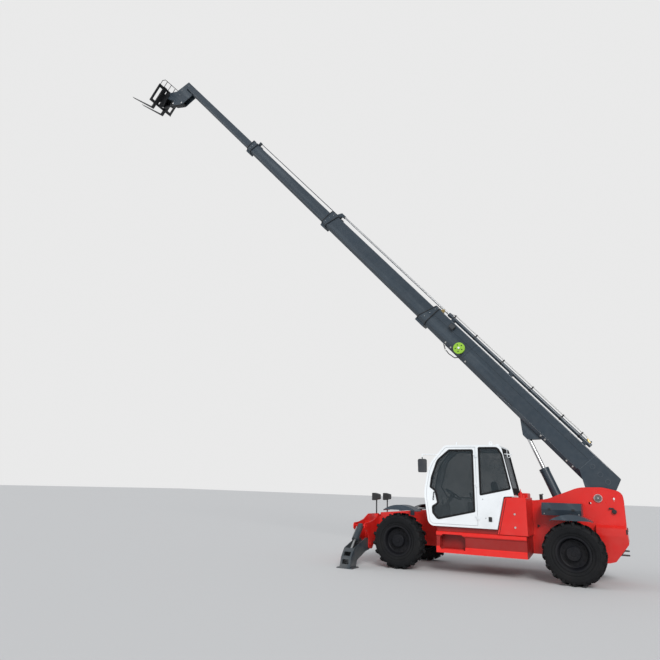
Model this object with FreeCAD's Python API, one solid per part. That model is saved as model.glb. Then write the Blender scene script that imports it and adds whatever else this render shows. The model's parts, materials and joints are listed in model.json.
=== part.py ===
import FreeCAD
import Part
import math
import os

# Telehandler: a wheeled handler with a four-stage boom, forks on a drop head, two front stabilisers
# and a closed cab on its left. Millimetres. X forward, Y left, Z up. The origin lies on the ground,
# on the centreline, midway between the two axles.

# Whole machine
WHEELBASE = 3670.0
TYRE_RADIUS = 595.0
TYRE_WIDTH = 400.0
WHEEL_OFFSET = 985.0
KINGPIN_OFFSET = 735.0
FRAME_INNER = 250.0
FRAME_PLATE = 30.0
RUN_GAP = 5.0
PIN_GAP = 0.3
SEAT_GAP = 0.3

# Boom, in its own frame: s runs along the boom from its pivot, n stands up from it
BOOM_PIVOT_X = -WHEELBASE / 2 - 490.0
BOOM_PIVOT_Z = 1658.0
BOOM_ANGLE = 48.0

# Cab
CAB_RIGHT = 300.0
CAB_LEFT = 1150.0
CAB_WALL = 40.0
CAB_BOTTOM = 965.0
CAB_ROOF = 2705.0
PILLAR_X = 0.0
DOOR_GAP = 6.0

# Stabilisers
LEG_X = WHEELBASE / 2 + 955.0
LEG_WIDTH = 250.0
LEG_PIVOT_Y = 800.0
LEG_PIVOT_Z = 450.0

FRAME_OUTER = FRAME_INNER + FRAME_PLATE
AXLE_X = WHEELBASE / 2
X_AXIS = FreeCAD.Vector(1, 0, 0)
Y_AXIS = FreeCAD.Vector(0, 1, 0)
Z_AXIS = FreeCAD.Vector(0, 0, 1)
ORIGIN = FreeCAD.Vector(0, 0, 0)
FAR = 30000.0


def at(x, y, z):
    """A point."""
    return FreeCAD.Vector(x, y, z)


def box(x_low, x_high, y_low, y_high, z_low, z_high):
    """A block between two corners."""
    return Part.makeBox(x_high - x_low, y_high - y_low, z_high - z_low, at(x_low, y_low, z_low))


def fuse(solids):
    """One solid from several that touch."""
    whole = solids[0].multiFuse(solids[1:]) if len(solids) > 1 else solids[0]
    return whole.removeSplitter()


def rod(start, end, radius):
    """A round bar between two points."""
    run = end - start
    return Part.makeCylinder(radius, run.Length, start, run)


def tube(start, end, outer, inner):
    """A round tube open at both ends."""
    return rod(start, end, outer).cut(rod(start, end, inner))


def mirrored(shape):
    """The same shape on the other side of the centreline."""
    return shape.mirror(ORIGIN, Y_AXIS)


def both_sides(shape):
    """A shape and its mirror image, as two solids."""
    return Part.makeCompound([shape, mirrored(shape)])


def wire(corners, place):
    """A closed outline through corners (a, b, radius), each corner rounded by its radius."""
    entries, mids, exits = [], [], []
    for index, (a, b, radius) in enumerate(corners):
        corner = FreeCAD.Vector(a, b, 0)
        before = FreeCAD.Vector(*corners[index - 1][:2], 0)
        after = FreeCAD.Vector(*corners[(index + 1) % len(corners)][:2], 0)
        back = (before - corner).normalize()
        ahead = (after - corner).normalize()
        half = back.getAngle(ahead) / 2
        run = radius / math.tan(half)
        bisector = (back + ahead).normalize() if radius else back
        entries.append(corner + back * run)
        exits.append(corner + ahead * run)
        mids.append(corner + bisector * (radius / math.sin(half) - radius))
    edges = []
    for index, (a, b, radius) in enumerate(corners):
        start = exits[index - 1]
        if (entries[index] - start).Length > 1e-3:
            edges.append(Part.makeLine(place(start), place(entries[index])))
        if radius:
            arc = Part.Arc(place(entries[index]), place(mids[index]), place(exits[index]))
            edges.append(arc.toShape())
    return Part.Wire(edges)


def plate_y(corners, y_low, y_high):
    """An outline in X and Z, drawn out along Y."""
    face = Part.Face(wire(corners, lambda p: at(p.x, y_low, p.y)))
    return face.extrude(at(0, y_high - y_low, 0))


def plate_x(corners, x_low, x_high):
    """An outline in Y and Z, drawn out along X."""
    face = Part.Face(wire(corners, lambda p: at(x_low, p.x, p.y)))
    return face.extrude(at(x_high - x_low, 0, 0))


def plate_z(corners, z_low, z_high):
    """An outline in X and Y, drawn out along Z."""
    face = Part.Face(wire(corners, lambda p: at(p.x, p.y, z_low)))
    return face.extrude(at(0, 0, z_high - z_low))


def spun(corners, centre, axis, across):
    """An outline of (radius, length along the axis, rounding), turned once about the axis."""
    face = Part.Face(wire(corners, lambda p: centre + across * p.x + axis * p.y))
    return face.revolve(centre, axis, 360)


def on_boom(shape):
    """Turns a shape from the boom's own frame to its place on the machine."""
    turned = shape.copy()
    turned.rotate(ORIGIN, Y_AXIS, -BOOM_ANGLE)
    turned.translate(at(BOOM_PIVOT_X, 0, BOOM_PIVOT_Z))
    return turned


def save(node, shape):
    """Writes one sub-part."""
    shape.exportStep("parts/" + node + ".step")


# Chassis: two long side plates that rise at the rear into the boom's tower
AXLE_Z = TYRE_RADIUS
TUNNEL_RADIUS = 90.0
ARCH_TOP = 800.0
ARCH_HALF = 330.0
RAIL_BOTTOM = 470.0
RAIL_TOP = 950.0
NOSE_X = AXLE_X + 775.0
NOSE_TOP = 1130.0
TAIL_X = -AXLE_X - 960.0
BALLAST_TOP = 1130.0
BALLAST_FRONT = -AXLE_X - 405.0
LIFT_PIN_X = -AXLE_X + 145.0
LIFT_PIN_Z = 1200.0
LIFT_PIN_RADIUS = 40.0
BOOM_PIN_RADIUS = 50.0
TOWER_TOP = 1868.0
TOWER_FOOT_Z = 1553.0
TOWER_FOOT_X = -880.0
TOWER_HOLE = 26.0
FRONT_HOLE_X = BOOM_PIVOT_X + 167.0
FRONT_HOLE_Z = 1553.0
KEYHOLE_X = BOOM_PIVOT_X - 288.0
KEYHOLE_Z = 1655.0
BOSS_REACH = 22.0


def chassis_outline():
    """Side plate: corners (x, z, rounding)."""
    return [
        (TAIL_X, BALLAST_TOP, 0),
        (TAIL_X, 1620.0, 0),
        (TAIL_X + 20.0, 1800.0, 150.0),
        (BOOM_PIVOT_X - 95.0, TOWER_TOP + 12.0, 500.0),
        (BOOM_PIVOT_X + 365.0, TOWER_TOP, 600.0),
        (-1300.0, 1600.0, 900.0),
        (TOWER_FOOT_X, TOWER_FOOT_Z, 0),
        (TOWER_FOOT_X, RAIL_TOP, 60.0),
        (960.0, RAIL_TOP, 60.0),
        (1060.0, 1285.0, 60.0),
        (1640.0, 1240.0, 200.0),
        (NOSE_X, NOSE_TOP + 20.0, 0),
        (NOSE_X, RAIL_BOTTOM, 0),
        (AXLE_X + ARCH_HALF, RAIL_BOTTOM, 40.0),
        (AXLE_X + ARCH_HALF - 90.0, ARCH_TOP, 60.0),
        (AXLE_X - ARCH_HALF + 90.0, ARCH_TOP, 60.0),
        (AXLE_X - ARCH_HALF, RAIL_BOTTOM, 40.0),
        (-AXLE_X + ARCH_HALF, RAIL_BOTTOM, 40.0),
        (-AXLE_X + ARCH_HALF - 90.0, ARCH_TOP, 60.0),
        (BALLAST_FRONT, ARCH_TOP, 0),
        (BALLAST_FRONT, BALLAST_TOP, 0),
    ]


# Cross members between the side plates: (x low, x high, z low, z high)
CROSS_MEMBERS = [
    (NOSE_X - 30.0, NOSE_X, 560.0, NOSE_TOP - 20.0),
    (NOSE_X - 380.0, NOSE_X - 280.0, 860.0, 960.0),
    (AXLE_X - 655.0, AXLE_X - 555.0, 560.0, 900.0),
    (300.0, 400.0, 480.0, 760.0),
    (-AXLE_X + 655.0, -AXLE_X + 755.0, 480.0, 780.0),
    (BALLAST_FRONT, BALLAST_FRONT + 30.0, ARCH_TOP, BALLAST_TOP),
]


def chassis_frame():
    """Side plates, cross members and the bored bosses of the boom and lift cylinder pins."""
    side = plate_y(chassis_outline(), FRAME_INNER, FRAME_OUTER)
    boss_out = FRAME_OUTER + BOSS_REACH
    boss = rod(at(BOOM_PIVOT_X, FRAME_OUTER, BOOM_PIVOT_Z), at(BOOM_PIVOT_X, boss_out, BOOM_PIVOT_Z), 85.0)
    side = side.fuse(boss)
    for x, z, radius in [
        (BOOM_PIVOT_X, BOOM_PIVOT_Z, BOOM_PIN_RADIUS + PIN_GAP),
        (LIFT_PIN_X, LIFT_PIN_Z, LIFT_PIN_RADIUS + PIN_GAP),
        (FRONT_HOLE_X, FRONT_HOLE_Z, TOWER_HOLE),
        (KEYHOLE_X, KEYHOLE_Z, TOWER_HOLE),
    ]:
        side = side.cut(rod(at(x, 0, z), at(x, CAB_LEFT, z), radius))
    side = side.cut(box(KEYHOLE_X - 10.0, KEYHOLE_X + 10.0, 0, CAB_LEFT, KEYHOLE_Z - 55.0, KEYHOLE_Z))
    tunnel = rod(at(-AXLE_X + 535.0, 0, AXLE_Z), at(AXLE_X - 435.0, 0, AXLE_Z), TUNNEL_RADIUS)
    members = [
        box(x_low, x_high, -FRAME_INNER, FRAME_INNER, z_low, z_high).cut(tunnel)
        for x_low, x_high, z_low, z_high in CROSS_MEMBERS
    ]
    return fuse([side, mirrored(side)] + members)


def pivot_pins():
    """Boom pin and lift cylinder's lower pin, each with a head outside the frame."""
    pins = []
    for x, z, radius, reach in [
        (BOOM_PIVOT_X, BOOM_PIVOT_Z, BOOM_PIN_RADIUS, FRAME_OUTER + BOSS_REACH),
        (LIFT_PIN_X, LIFT_PIN_Z, LIFT_PIN_RADIUS, FRAME_OUTER),
    ]:
        pin = rod(at(x, -reach - 18.0, z), at(x, reach + 18.0, z), radius)
        head = rod(at(x, reach, z), at(x, reach + 18.0, z), radius + 12.0)
        pins.append(fuse([pin, head, mirrored(head)]))
    return Part.makeCompound(pins)


BALLAST_HALF = 460.0
BALLAST_LEDGE = 50.0
BALLAST_BOTTOM = 405.0
BALLAST_DRAFT = 60.0
SLOPE_TOP_X = TAIL_X - 21.0
SLOPE_TOP_Z = 790.0
SLOPE_LOW_X = TAIL_X + 245.0
SLOPE_LOW_Z = 440.0


def ballast_outline():
    """Ballast seen from the side: upright back, then a slope forward to the bottom."""
    return [
        (BALLAST_FRONT, BALLAST_TOP, 0),
        (TAIL_X, BALLAST_TOP, 0),
        (SLOPE_TOP_X, SLOPE_TOP_Z, 60.0),
        (SLOPE_LOW_X, SLOPE_LOW_Z, 60.0),
        (TAIL_X + 365.0, BALLAST_BOTTOM, 40.0),
        (BALLAST_FRONT, BALLAST_BOTTOM, 0),
    ]


def ballast():
    """Rear ballast under the tower: wide below a bevelled ledge, drawn in towards its bottom."""
    body = plate_y(ballast_outline(), -BALLAST_HALF, BALLAST_HALF)
    half, ridge = BALLAST_HALF, FRAME_OUTER + 30.0
    section = [
        (-half + BALLAST_DRAFT, BALLAST_BOTTOM, 0),
        (half - BALLAST_DRAFT, BALLAST_BOTTOM, 0),
        (half, 930.0, 80.0),
        (half, BALLAST_TOP - BALLAST_LEDGE, 0),
        (ridge, BALLAST_TOP, 0),
        (-ridge, BALLAST_TOP, 0),
        (-half, BALLAST_TOP - BALLAST_LEDGE, 0),
        (-half, 930.0, 80.0),
    ]
    return body.common(plate_x(section, TAIL_X - 100.0, BALLAST_FRONT))


HITCH_X = TAIL_X + 40.0
HITCH_Z = 590.0
HITCH_BORE = 16.0
HITCH_HALF = 55.0
JAW_HALF = 60.0
JAW_PLATE = 25.0


def slope_at(z):
    """X of the ballast's sloping back at a height."""
    share = (SLOPE_TOP_Z - z) / (SLOPE_TOP_Z - SLOPE_LOW_Z)
    return SLOPE_TOP_X + share * (SLOPE_LOW_X - SLOPE_TOP_X)


def tow_hitch():
    """Rear towing jaw on the sloping back of the ballast, bored for an upright pin."""
    low, high = HITCH_Z - HITCH_HALF, HITCH_Z + HITCH_HALF
    backing = [
        (slope_at(high) - JAW_PLATE, high, 0),
        (slope_at(high) + JAW_PLATE, high, 0),
        (slope_at(low) + JAW_PLATE, low, 0),
        (slope_at(low) - JAW_PLATE, low, 0),
    ]
    jaw = [
        (slope_at(low), -JAW_HALF, 0),
        (HITCH_X - 50.0, -JAW_HALF, 50.0),
        (HITCH_X - 50.0, JAW_HALF, 50.0),
        (slope_at(low), JAW_HALF, 0),
    ]
    solids = [plate_y(backing, -2 * JAW_HALF, 2 * JAW_HALF)]
    solids += [plate_z(jaw, z, z + JAW_PLATE) for z in (low, high - JAW_PLATE)]
    bore = rod(at(HITCH_X, 0, low - 1.0), at(HITCH_X, 0, high + 1.0), HITCH_BORE)
    return fuse(solids).cut(bore).cut(plate_y(ballast_outline(), -BALLAST_HALF, BALLAST_HALF))


# Axles and steered knuckles
AXLE_TUBE = 85.0
YOKE_HALF = 185.0
YOKE_GAP = 155.0
YOKE_END = 810.0
YOKE_WEB = 655.0
KNUCKLE_BARREL = 70.0
STUB_RADIUS = 60.0
SADDLE_HALF = 90.0


def axle(x, inwards):
    """Live axle: tapered housing, differential, yokes at both ends and seats under the frame."""
    housing = spun(
        [
            (0, -620.0, 0),
            (AXLE_TUBE, -620.0, 0),
            (AXLE_TUBE, -380.0, 0),
            (140.0, -170.0, 60.0),
            (185.0, -60.0, 60.0),
            (185.0, 60.0, 60.0),
            (140.0, 170.0, 60.0),
            (AXLE_TUBE, 380.0, 0),
            (AXLE_TUBE, 620.0, 0),
            (0, 620.0, 0),
        ],
        at(x, 0, AXLE_Z),
        Y_AXIS,
        X_AXIS,
    )
    nose = rod(at(x, 0, AXLE_Z), at(x + inwards * 300.0, 0, AXLE_Z), 80.0)
    flange = rod(at(x + inwards * 280.0, 0, AXLE_Z), at(x + inwards * 300.0, 0, AXLE_Z), 105.0)
    yoke = plate_x(
        [
            (560.0, AXLE_Z - AXLE_TUBE, 0),
            (640.0, AXLE_Z - YOKE_HALF, 30.0),
            (YOKE_END, AXLE_Z - YOKE_HALF, 10.0),
            (YOKE_END, AXLE_Z - YOKE_GAP, 0),
            (YOKE_WEB, AXLE_Z - YOKE_GAP, 8.0),
            (YOKE_WEB, AXLE_Z + YOKE_GAP, 8.0),
            (YOKE_END, AXLE_Z + YOKE_GAP, 0),
            (YOKE_END, AXLE_Z + YOKE_HALF, 10.0),
            (640.0, AXLE_Z + YOKE_HALF, 30.0),
            (560.0, AXLE_Z + AXLE_TUBE, 0),
        ],
        x - 75.0,
        x + 75.0,
    )
    saddle = box(x - SADDLE_HALF, x + SADDLE_HALF, FRAME_INNER - 20.0, FRAME_OUTER + 20.0, AXLE_Z, ARCH_TOP)
    solids = [housing, nose, flange, yoke, mirrored(yoke), saddle, mirrored(saddle)]
    return fuse(solids)


def knuckle(x, side):
    """Steered knuckle: swivel barrel between the yoke's arms, flange and stub shaft."""
    y = KINGPIN_OFFSET
    reach = YOKE_GAP - SEAT_GAP
    barrel = rod(at(x, y, AXLE_Z - reach), at(x, y, AXLE_Z + reach), KNUCKLE_BARREL)
    hub_back = WHEEL_OFFSET - HUB_BACK - SEAT_GAP
    flange = rod(at(x, y, AXLE_Z), at(x, hub_back, AXLE_Z), 120.0)
    stub = rod(at(x, y, AXLE_Z), at(x, WHEEL_OFFSET + HUB_BORE_END - 5.0, AXLE_Z), STUB_RADIUS)
    arm = box(x - 110.0, x + 110.0, y - 40.0, y + 40.0, AXLE_Z - 40.0, AXLE_Z + 40.0)
    whole = fuse([barrel, flange, stub, arm])
    return whole if side > 0 else mirrored(whole)


# Wheels: lugged tyre on a deep-dished rim with a plain hub
BEAD_RADIUS = 305.0
CARCASS_RADIUS = 560.0
RIM_EDGE = 333.0
HUB_BACK = 40.0
HUB_BORE_END = 100.0
HUB_RADIUS = 145.0
LUGS_PER_ROW = 18
LUG_HALF_WIDTH = 27.0
LUG_SKEW = 22.0
LUG_INNER_Y = -12.0
LUG_SHOULDER_Y = TYRE_WIDTH / 2


def tyre():
    """Tyre about the Y axis at the origin: ring of straight flanks, with two rows of skewed lugs."""
    half = TYRE_WIDTH / 2
    ring = spun(
        [
            (BEAD_RADIUS, -half + 40.0, 0),
            (BEAD_RADIUS, half - 40.0, 0),
            (345.0, half - 22.0, 0),
            (430.0, half - 3.0, 0),
            (500.0, half - 3.0, 0),
            (CARCASS_RADIUS - 18.0, half - 25.0, 0),
            (CARCASS_RADIUS, half - 75.0, 0),
            (CARCASS_RADIUS, -half + 75.0, 0),
            (CARCASS_RADIUS - 18.0, -half + 25.0, 0),
            (500.0, -half + 3.0, 0),
            (430.0, -half + 3.0, 0),
            (345.0, -half + 22.0, 0),
        ],
        ORIGIN,
        Y_AXIS,
        X_AXIS,
    )
    half_length = (LUG_SHOULDER_Y - LUG_INNER_Y) / 2
    skew = math.radians(LUG_SKEW)
    reach = LUG_HALF_WIDTH * math.cos(skew) + half_length * math.sin(skew)
    spread = math.pi / LUGS_PER_ROW - math.asin(reach / TYRE_RADIUS)
    tip_radius = TYRE_RADIUS / math.cos(spread)
    lug_top = math.sqrt(tip_radius**2 - reach**2)
    root = CARCASS_RADIUS - 20.0
    bar = plate_x(
        [
            (LUG_INNER_Y, root, 0),
            (LUG_SHOULDER_Y - 25.0, root - 25.0, 0),
            (LUG_SHOULDER_Y - 12.0, 505.0, 0),
            (LUG_SHOULDER_Y, 530.0, 0),
            (LUG_SHOULDER_Y - 8.0, lug_top - 8.0, 0),
            (LUG_SHOULDER_Y - 60.0, lug_top, 0),
            (LUG_INNER_Y, lug_top, 0),
        ],
        -LUG_HALF_WIDTH,
        LUG_HALF_WIDTH,
    )
    bar.rotate(at(0, LUG_INNER_Y + half_length, 0), Z_AXIS, LUG_SKEW)
    other = mirrored(bar)
    pitch = 360.0 / LUGS_PER_ROW
    lugs = []
    for index in range(LUGS_PER_ROW):
        for shape, lead in ((bar, 0.0), (other, pitch / 2)):
            lug = shape.copy()
            lug.rotate(ORIGIN, Y_AXIS, index * pitch + lead)
            lugs.append(lug)
    return ring.multiFuse(lugs)


def rim():
    """Rim about the Y axis at the origin, its dish open towards plus Y."""
    half = TYRE_WIDTH / 2
    edge = half - 10.0
    well = BEAD_RADIUS - SEAT_GAP
    return spun(
        [
            (0, 150.0, 0),
            (HUB_RADIUS - 20.0, 150.0, 0),
            (HUB_RADIUS, 130.0, 0),
            (HUB_RADIUS, 60.0, 0),
            (258.0, 60.0, 20.0),
            (284.0, edge - 20.0, 0),
            (300.0, edge, 0),
            (RIM_EDGE, edge, 0),
            (RIM_EDGE, edge - 10.0, 0),
            (well, edge - 10.0, 0),
            (well, -edge + 10.0, 0),
            (RIM_EDGE, -edge + 10.0, 0),
            (RIM_EDGE, -edge, 0),
            (300.0, -edge, 0),
            (284.0, -edge + 20.0, 0),
            (262.0, 42.0, 20.0),
            (160.0, 42.0, 0),
            (160.0, -HUB_BACK, 0),
            (STUB_RADIUS + PIN_GAP, -HUB_BACK, 0),
            (STUB_RADIUS + PIN_GAP, HUB_BORE_END, 0),
            (0, HUB_BORE_END, 0),
        ],
        ORIGIN,
        Y_AXIS,
        X_AXIS,
    )


# Fenders: arched sheets over the wheels, each with a skirt on its outer edge
FENDER_THICK = 12.0
FENDER_RADIUS = 700.0
FENDER_TOP_FRONT = 1370.0
FENDER_TOP_REAR = 1325.0
FENDER_SWEEP = 34.0
FENDER_ARM_Z = 1270.0
FENDER_SHIFT = 60.0
FENDER_SKIRT = 112.0


def fender(x, top):
    """Thin arched sheet above a wheel, with a crescent skirt outside and an arm from the frame."""
    centre = at(x, 0, top - FENDER_RADIUS)
    y_low = WHEEL_OFFSET - TYRE_WIDTH / 2
    y_high = WHEEL_OFFSET + TYRE_WIDTH / 2
    sheet = tube(at(x, y_low, centre.z), at(x, y_high, centre.z), FENDER_RADIUS, FENDER_RADIUS - FENDER_THICK)
    half = FENDER_RADIUS * math.sin(math.radians(FENDER_SWEEP))
    sheet = sheet.common(box(x - half, x + half, y_low, y_high, centre.z, top))
    skirt_radius = FENDER_RADIUS - FENDER_THICK / 2
    skirt = rod(at(x, y_high - FENDER_THICK, centre.z), at(x, y_high, centre.z), skirt_radius)
    skirt = skirt.common(box(x - half, x + half, y_low, y_high, top - FENDER_SKIRT, top))
    arm_z = FENDER_ARM_Z
    arm = box(x - 20.0, x + 20.0, FRAME_OUTER, y_high - 60.0, arm_z - 30.0, arm_z)
    post = box(x - 20.0, x + 20.0, y_low + 40.0, y_high - 60.0, arm_z, top - FENDER_THICK / 2)
    foot = box(x - 50.0, x + 50.0, FRAME_OUTER, FRAME_OUTER + 16.0, arm_z - 150.0, arm_z)
    return fuse([sheet, skirt, arm, post, foot])


# Left side: folded step panel under the cab, tank cover behind the cab, tool box over the wheel
SKIRT_FRONT = 940.0
SKIRT_REAR = -965.0
SKIRT_BOTTOM = 420.0
SKIRT_SHEET = 10.0
COVER_SEAT = 860.0
STEP_FRONT = 865.0
STEP_REAR = 306.0
STEP_LOW = 490.0
STEP_HIGH = 800.0
STEP_DEPTH = 230.0


def skirt_section(inset):
    """Folded panel: corners (y, z, rounding), moved in by inset for its inner face."""
    return [
        (FRAME_OUTER + inset, SKIRT_BOTTOM + 60.0 + inset, 0),
        (900.0, SKIRT_BOTTOM + inset, 0),
        (1105.0 - inset, SKIRT_BOTTOM + inset, 0),
        (1105.0 - inset, 530.0 - inset * 0.4, 0),
        (1072.0 - inset, 572.0, 0),
        (1072.0 - inset, 745.0, 0),
        (1100.0 - inset, 785.0, 0),
        (1100.0 - inset, COVER_SEAT - 12.0 - inset, 0),
        (1080.0 - inset, COVER_SEAT - inset, 0),
        (FRAME_OUTER + inset, COVER_SEAT - inset, 0),
    ]


def step_panel():
    """Left lower panel: hollow folded sheet with end plates and a six-sided step pocket."""
    body = plate_x(skirt_section(0.0), SKIRT_REAR, SKIRT_FRONT)
    hollow = plate_x(skirt_section(SKIRT_SHEET), SKIRT_REAR + SKIRT_SHEET, SKIRT_FRONT - SKIRT_SHEET)
    body = body.cut(hollow)
    sill = box(-400.0, SKIRT_FRONT - 20.0, FRAME_OUTER, 1072.0, COVER_SEAT, CAB_BOTTOM)
    sill_hollow = box(
        -400.0 + SKIRT_SHEET,
        SKIRT_FRONT - 20.0 - SKIRT_SHEET,
        FRAME_OUTER + SKIRT_SHEET,
        1072.0 - SKIRT_SHEET,
        COVER_SEAT,
        CAB_BOTTOM - SKIRT_SHEET,
    )
    sill = sill.cut(sill_hollow)
    sill = sill.cut(plate_y(cover_outline(), FRAME_OUTER, COVER_OUT))
    bevel = 70.0
    mouth = [
        (STEP_FRONT, STEP_LOW + 40.0, 0),
        (STEP_FRONT, STEP_HIGH - bevel, 0),
        (STEP_FRONT - bevel, STEP_HIGH, 0),
        (STEP_REAR + bevel, STEP_HIGH, 0),
        (STEP_REAR, STEP_HIGH - bevel, 0),
        (STEP_REAR, STEP_LOW, 0),
        (STEP_FRONT - 40.0, STEP_LOW, 0),
    ]
    depth = 1105.0 - STEP_DEPTH
    pocket_box = plate_y(mouth, depth, 1105.0)
    liner = box(
        STEP_REAR - SKIRT_SHEET,
        STEP_FRONT + SKIRT_SHEET,
        depth - SKIRT_SHEET,
        1105.0,
        STEP_LOW - SKIRT_SHEET,
        STEP_HIGH + SKIRT_SHEET,
    ).common(plate_x(skirt_section(0.0), SKIRT_REAR, SKIRT_FRONT))
    return fuse([body, liner, sill]).cut(pocket_box)


COVER_FRONT_LOW = -408.0
COVER_FRONT_HIGH = -560.0
COVER_REAR = -1000.0
COVER_TOP = 1622.0
COVER_OUT = 1120.0


def cover_outline(inset=0.0):
    """Side outline of the tank cover: corners (x, z, rounding), moved in by inset but for its seat."""
    front_low = COVER_FRONT_LOW - 0.25 * (COVER_SEAT - CAB_BOTTOM) - 6.0
    seat = COVER_SEAT - inset
    return [
        (COVER_REAR + inset, seat, 0),
        (COVER_REAR + inset, COVER_TOP - inset, 12.0),
        (COVER_FRONT_HIGH - 8.0 - inset, COVER_TOP - inset, 60.0 - inset / 2),
        (front_low - inset, seat, 0),
    ]


def tank_cover():
    """Panelled tank behind the cab: sloping front edge, rounded top corner, open underneath."""
    body = plate_y(cover_outline(), FRAME_OUTER, COVER_OUT)
    edges = [edge for edge in body.Edges if edge.BoundBox.YMin > COVER_OUT - 1.0]
    body = body.makeFillet(14.0, edges)
    hollow = plate_y(cover_outline(SKIRT_SHEET), FRAME_OUTER + SKIRT_SHEET, COVER_OUT - 16.0)
    return body.cut(hollow)


def deck_fittings():
    """Raised hydraulic tank top behind the cab, with its filler post and cap."""
    top = box(-990.0, -795.0, 420.0, 760.0, COVER_TOP, COVER_TOP + 92.0)
    top = top.makeFillet(20.0, [edge for edge in top.Edges if edge.BoundBox.ZMin > COVER_TOP + 1.0])
    post = rod(at(-880.0, 960.0, COVER_TOP), at(-880.0, 960.0, COVER_TOP + 110.0), 30.0)
    tip = Part.makeCone(16.0, 3.0, 70.0, at(-880.0, 960.0, COVER_TOP + 110.0))
    cap = rod(at(-900.0, 840.0, COVER_TOP), at(-900.0, 840.0, COVER_TOP + 55.0), 45.0)
    return Part.makeCompound([top, fuse([post, tip]), cap])


BOX_FRONT = -AXLE_X + 597.0
BOX_REAR = -AXLE_X - 177.0
BOX_LOW = 1285.0
BOX_HIGH = 1535.0
BOX_OUT = 742.0


def tool_box():
    """Bevelled box on the tower's left side, above the rear wheel."""
    section = [
        (FRAME_OUTER, BOX_LOW, 0),
        (BOX_OUT - 42.0, BOX_LOW, 0),
        (BOX_OUT, BOX_LOW + 115.0, 0),
        (BOX_OUT - 122.0, BOX_HIGH, 0),
        (FRAME_OUTER, BOX_HIGH, 0),
    ]
    body = plate_x(section, BOX_REAR, BOX_FRONT)
    inner = plate_x(drawn_in(section, SKIRT_SHEET), BOX_REAR + SKIRT_SHEET, BOX_FRONT - SKIRT_SHEET)
    x_low, x_high = BOX_REAR + SKIRT_SHEET, BOX_FRONT - SKIRT_SHEET
    z_low, z_high = BOX_LOW + SKIRT_SHEET, BOX_HIGH - SKIRT_SHEET
    return body.cut(inner).cut(box(x_low, x_high, 0, FRAME_OUTER + 2 * SKIRT_SHEET, z_low, z_high))


# Right side: engine bay with a hinged hood
BAY_FRONT = 760.0
BAY_REAR = -1000.0
BAY_OUT = 1120.0
BAY_BOTTOM = 480.0
HOOD_SPLIT = 1180.0
HOOD_TOP = 1560.0
HOOD_HINGE_Y = -312.0
HOOD_HINGE_Z = 1530.0
HOOD_INNER_Y = -330.0
HOOD_FLANGE = 70.0
HOOD_HINGES = (-860.0, -120.0, 600.0)


def engine_bay():
    """Open tray of the engine: floor, outer side, ends and inner wall, in folded sheet."""
    section = [
        (-FRAME_OUTER, BAY_BOTTOM, 0),
        (-BAY_OUT + 120.0, BAY_BOTTOM, 0),
        (-BAY_OUT, BAY_BOTTOM + 160.0, 0),
        (-BAY_OUT, HOOD_SPLIT, 0),
        (-FRAME_OUTER, HOOD_SPLIT, 0),
    ]
    sheet = 12.0
    inner = [
        (-FRAME_OUTER - sheet, BAY_BOTTOM + sheet, 0),
        (-BAY_OUT + 126.0, BAY_BOTTOM + sheet, 0),
        (-BAY_OUT + sheet, BAY_BOTTOM + 165.0, 0),
        (-BAY_OUT + sheet, HOOD_SPLIT + sheet, 0),
        (-FRAME_OUTER - sheet, HOOD_SPLIT + sheet, 0),
    ]
    body = plate_x(section, BAY_REAR, BAY_FRONT)
    body = body.cut(plate_x(inner, BAY_REAR + sheet, BAY_FRONT - sheet))
    rail = box(BAY_REAR, BAY_FRONT, HOOD_INNER_Y + 18.0, -FRAME_OUTER, HOOD_SPLIT, HOOD_TOP - 60.0)
    knuckles = []
    for x in HOOD_HINGES:
        axle_end = at(x + HINGE_LENGTH * 2, HOOD_HINGE_Y, HOOD_HINGE_Z)
        start = at(x, HOOD_HINGE_Y, HOOD_HINGE_Z)
        knuckles.append(rod(start, start + X_AXIS * HINGE_LENGTH, HINGE_RADIUS))
        knuckles.append(rod(start, axle_end, HINGE_PIN))
        foot = box(x, x + HINGE_LENGTH, HOOD_HINGE_Y - 6.0, HOOD_HINGE_Y + 6.0, HOOD_TOP - 62.0, HOOD_HINGE_Z)
        knuckles.append(foot)
    return fuse([body, rail] + knuckles)


def engine_block():
    """The engine as one plain block on two feet."""
    block = box(-620.0, 380.0, -960.0, -420.0, 620.0, 1300.0)
    feet = [box(x, x + 120.0, -900.0, -480.0, BAY_BOTTOM + 12.0, 620.0) for x in (-560.0, 200.0)]
    return fuse([block] + feet)


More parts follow.
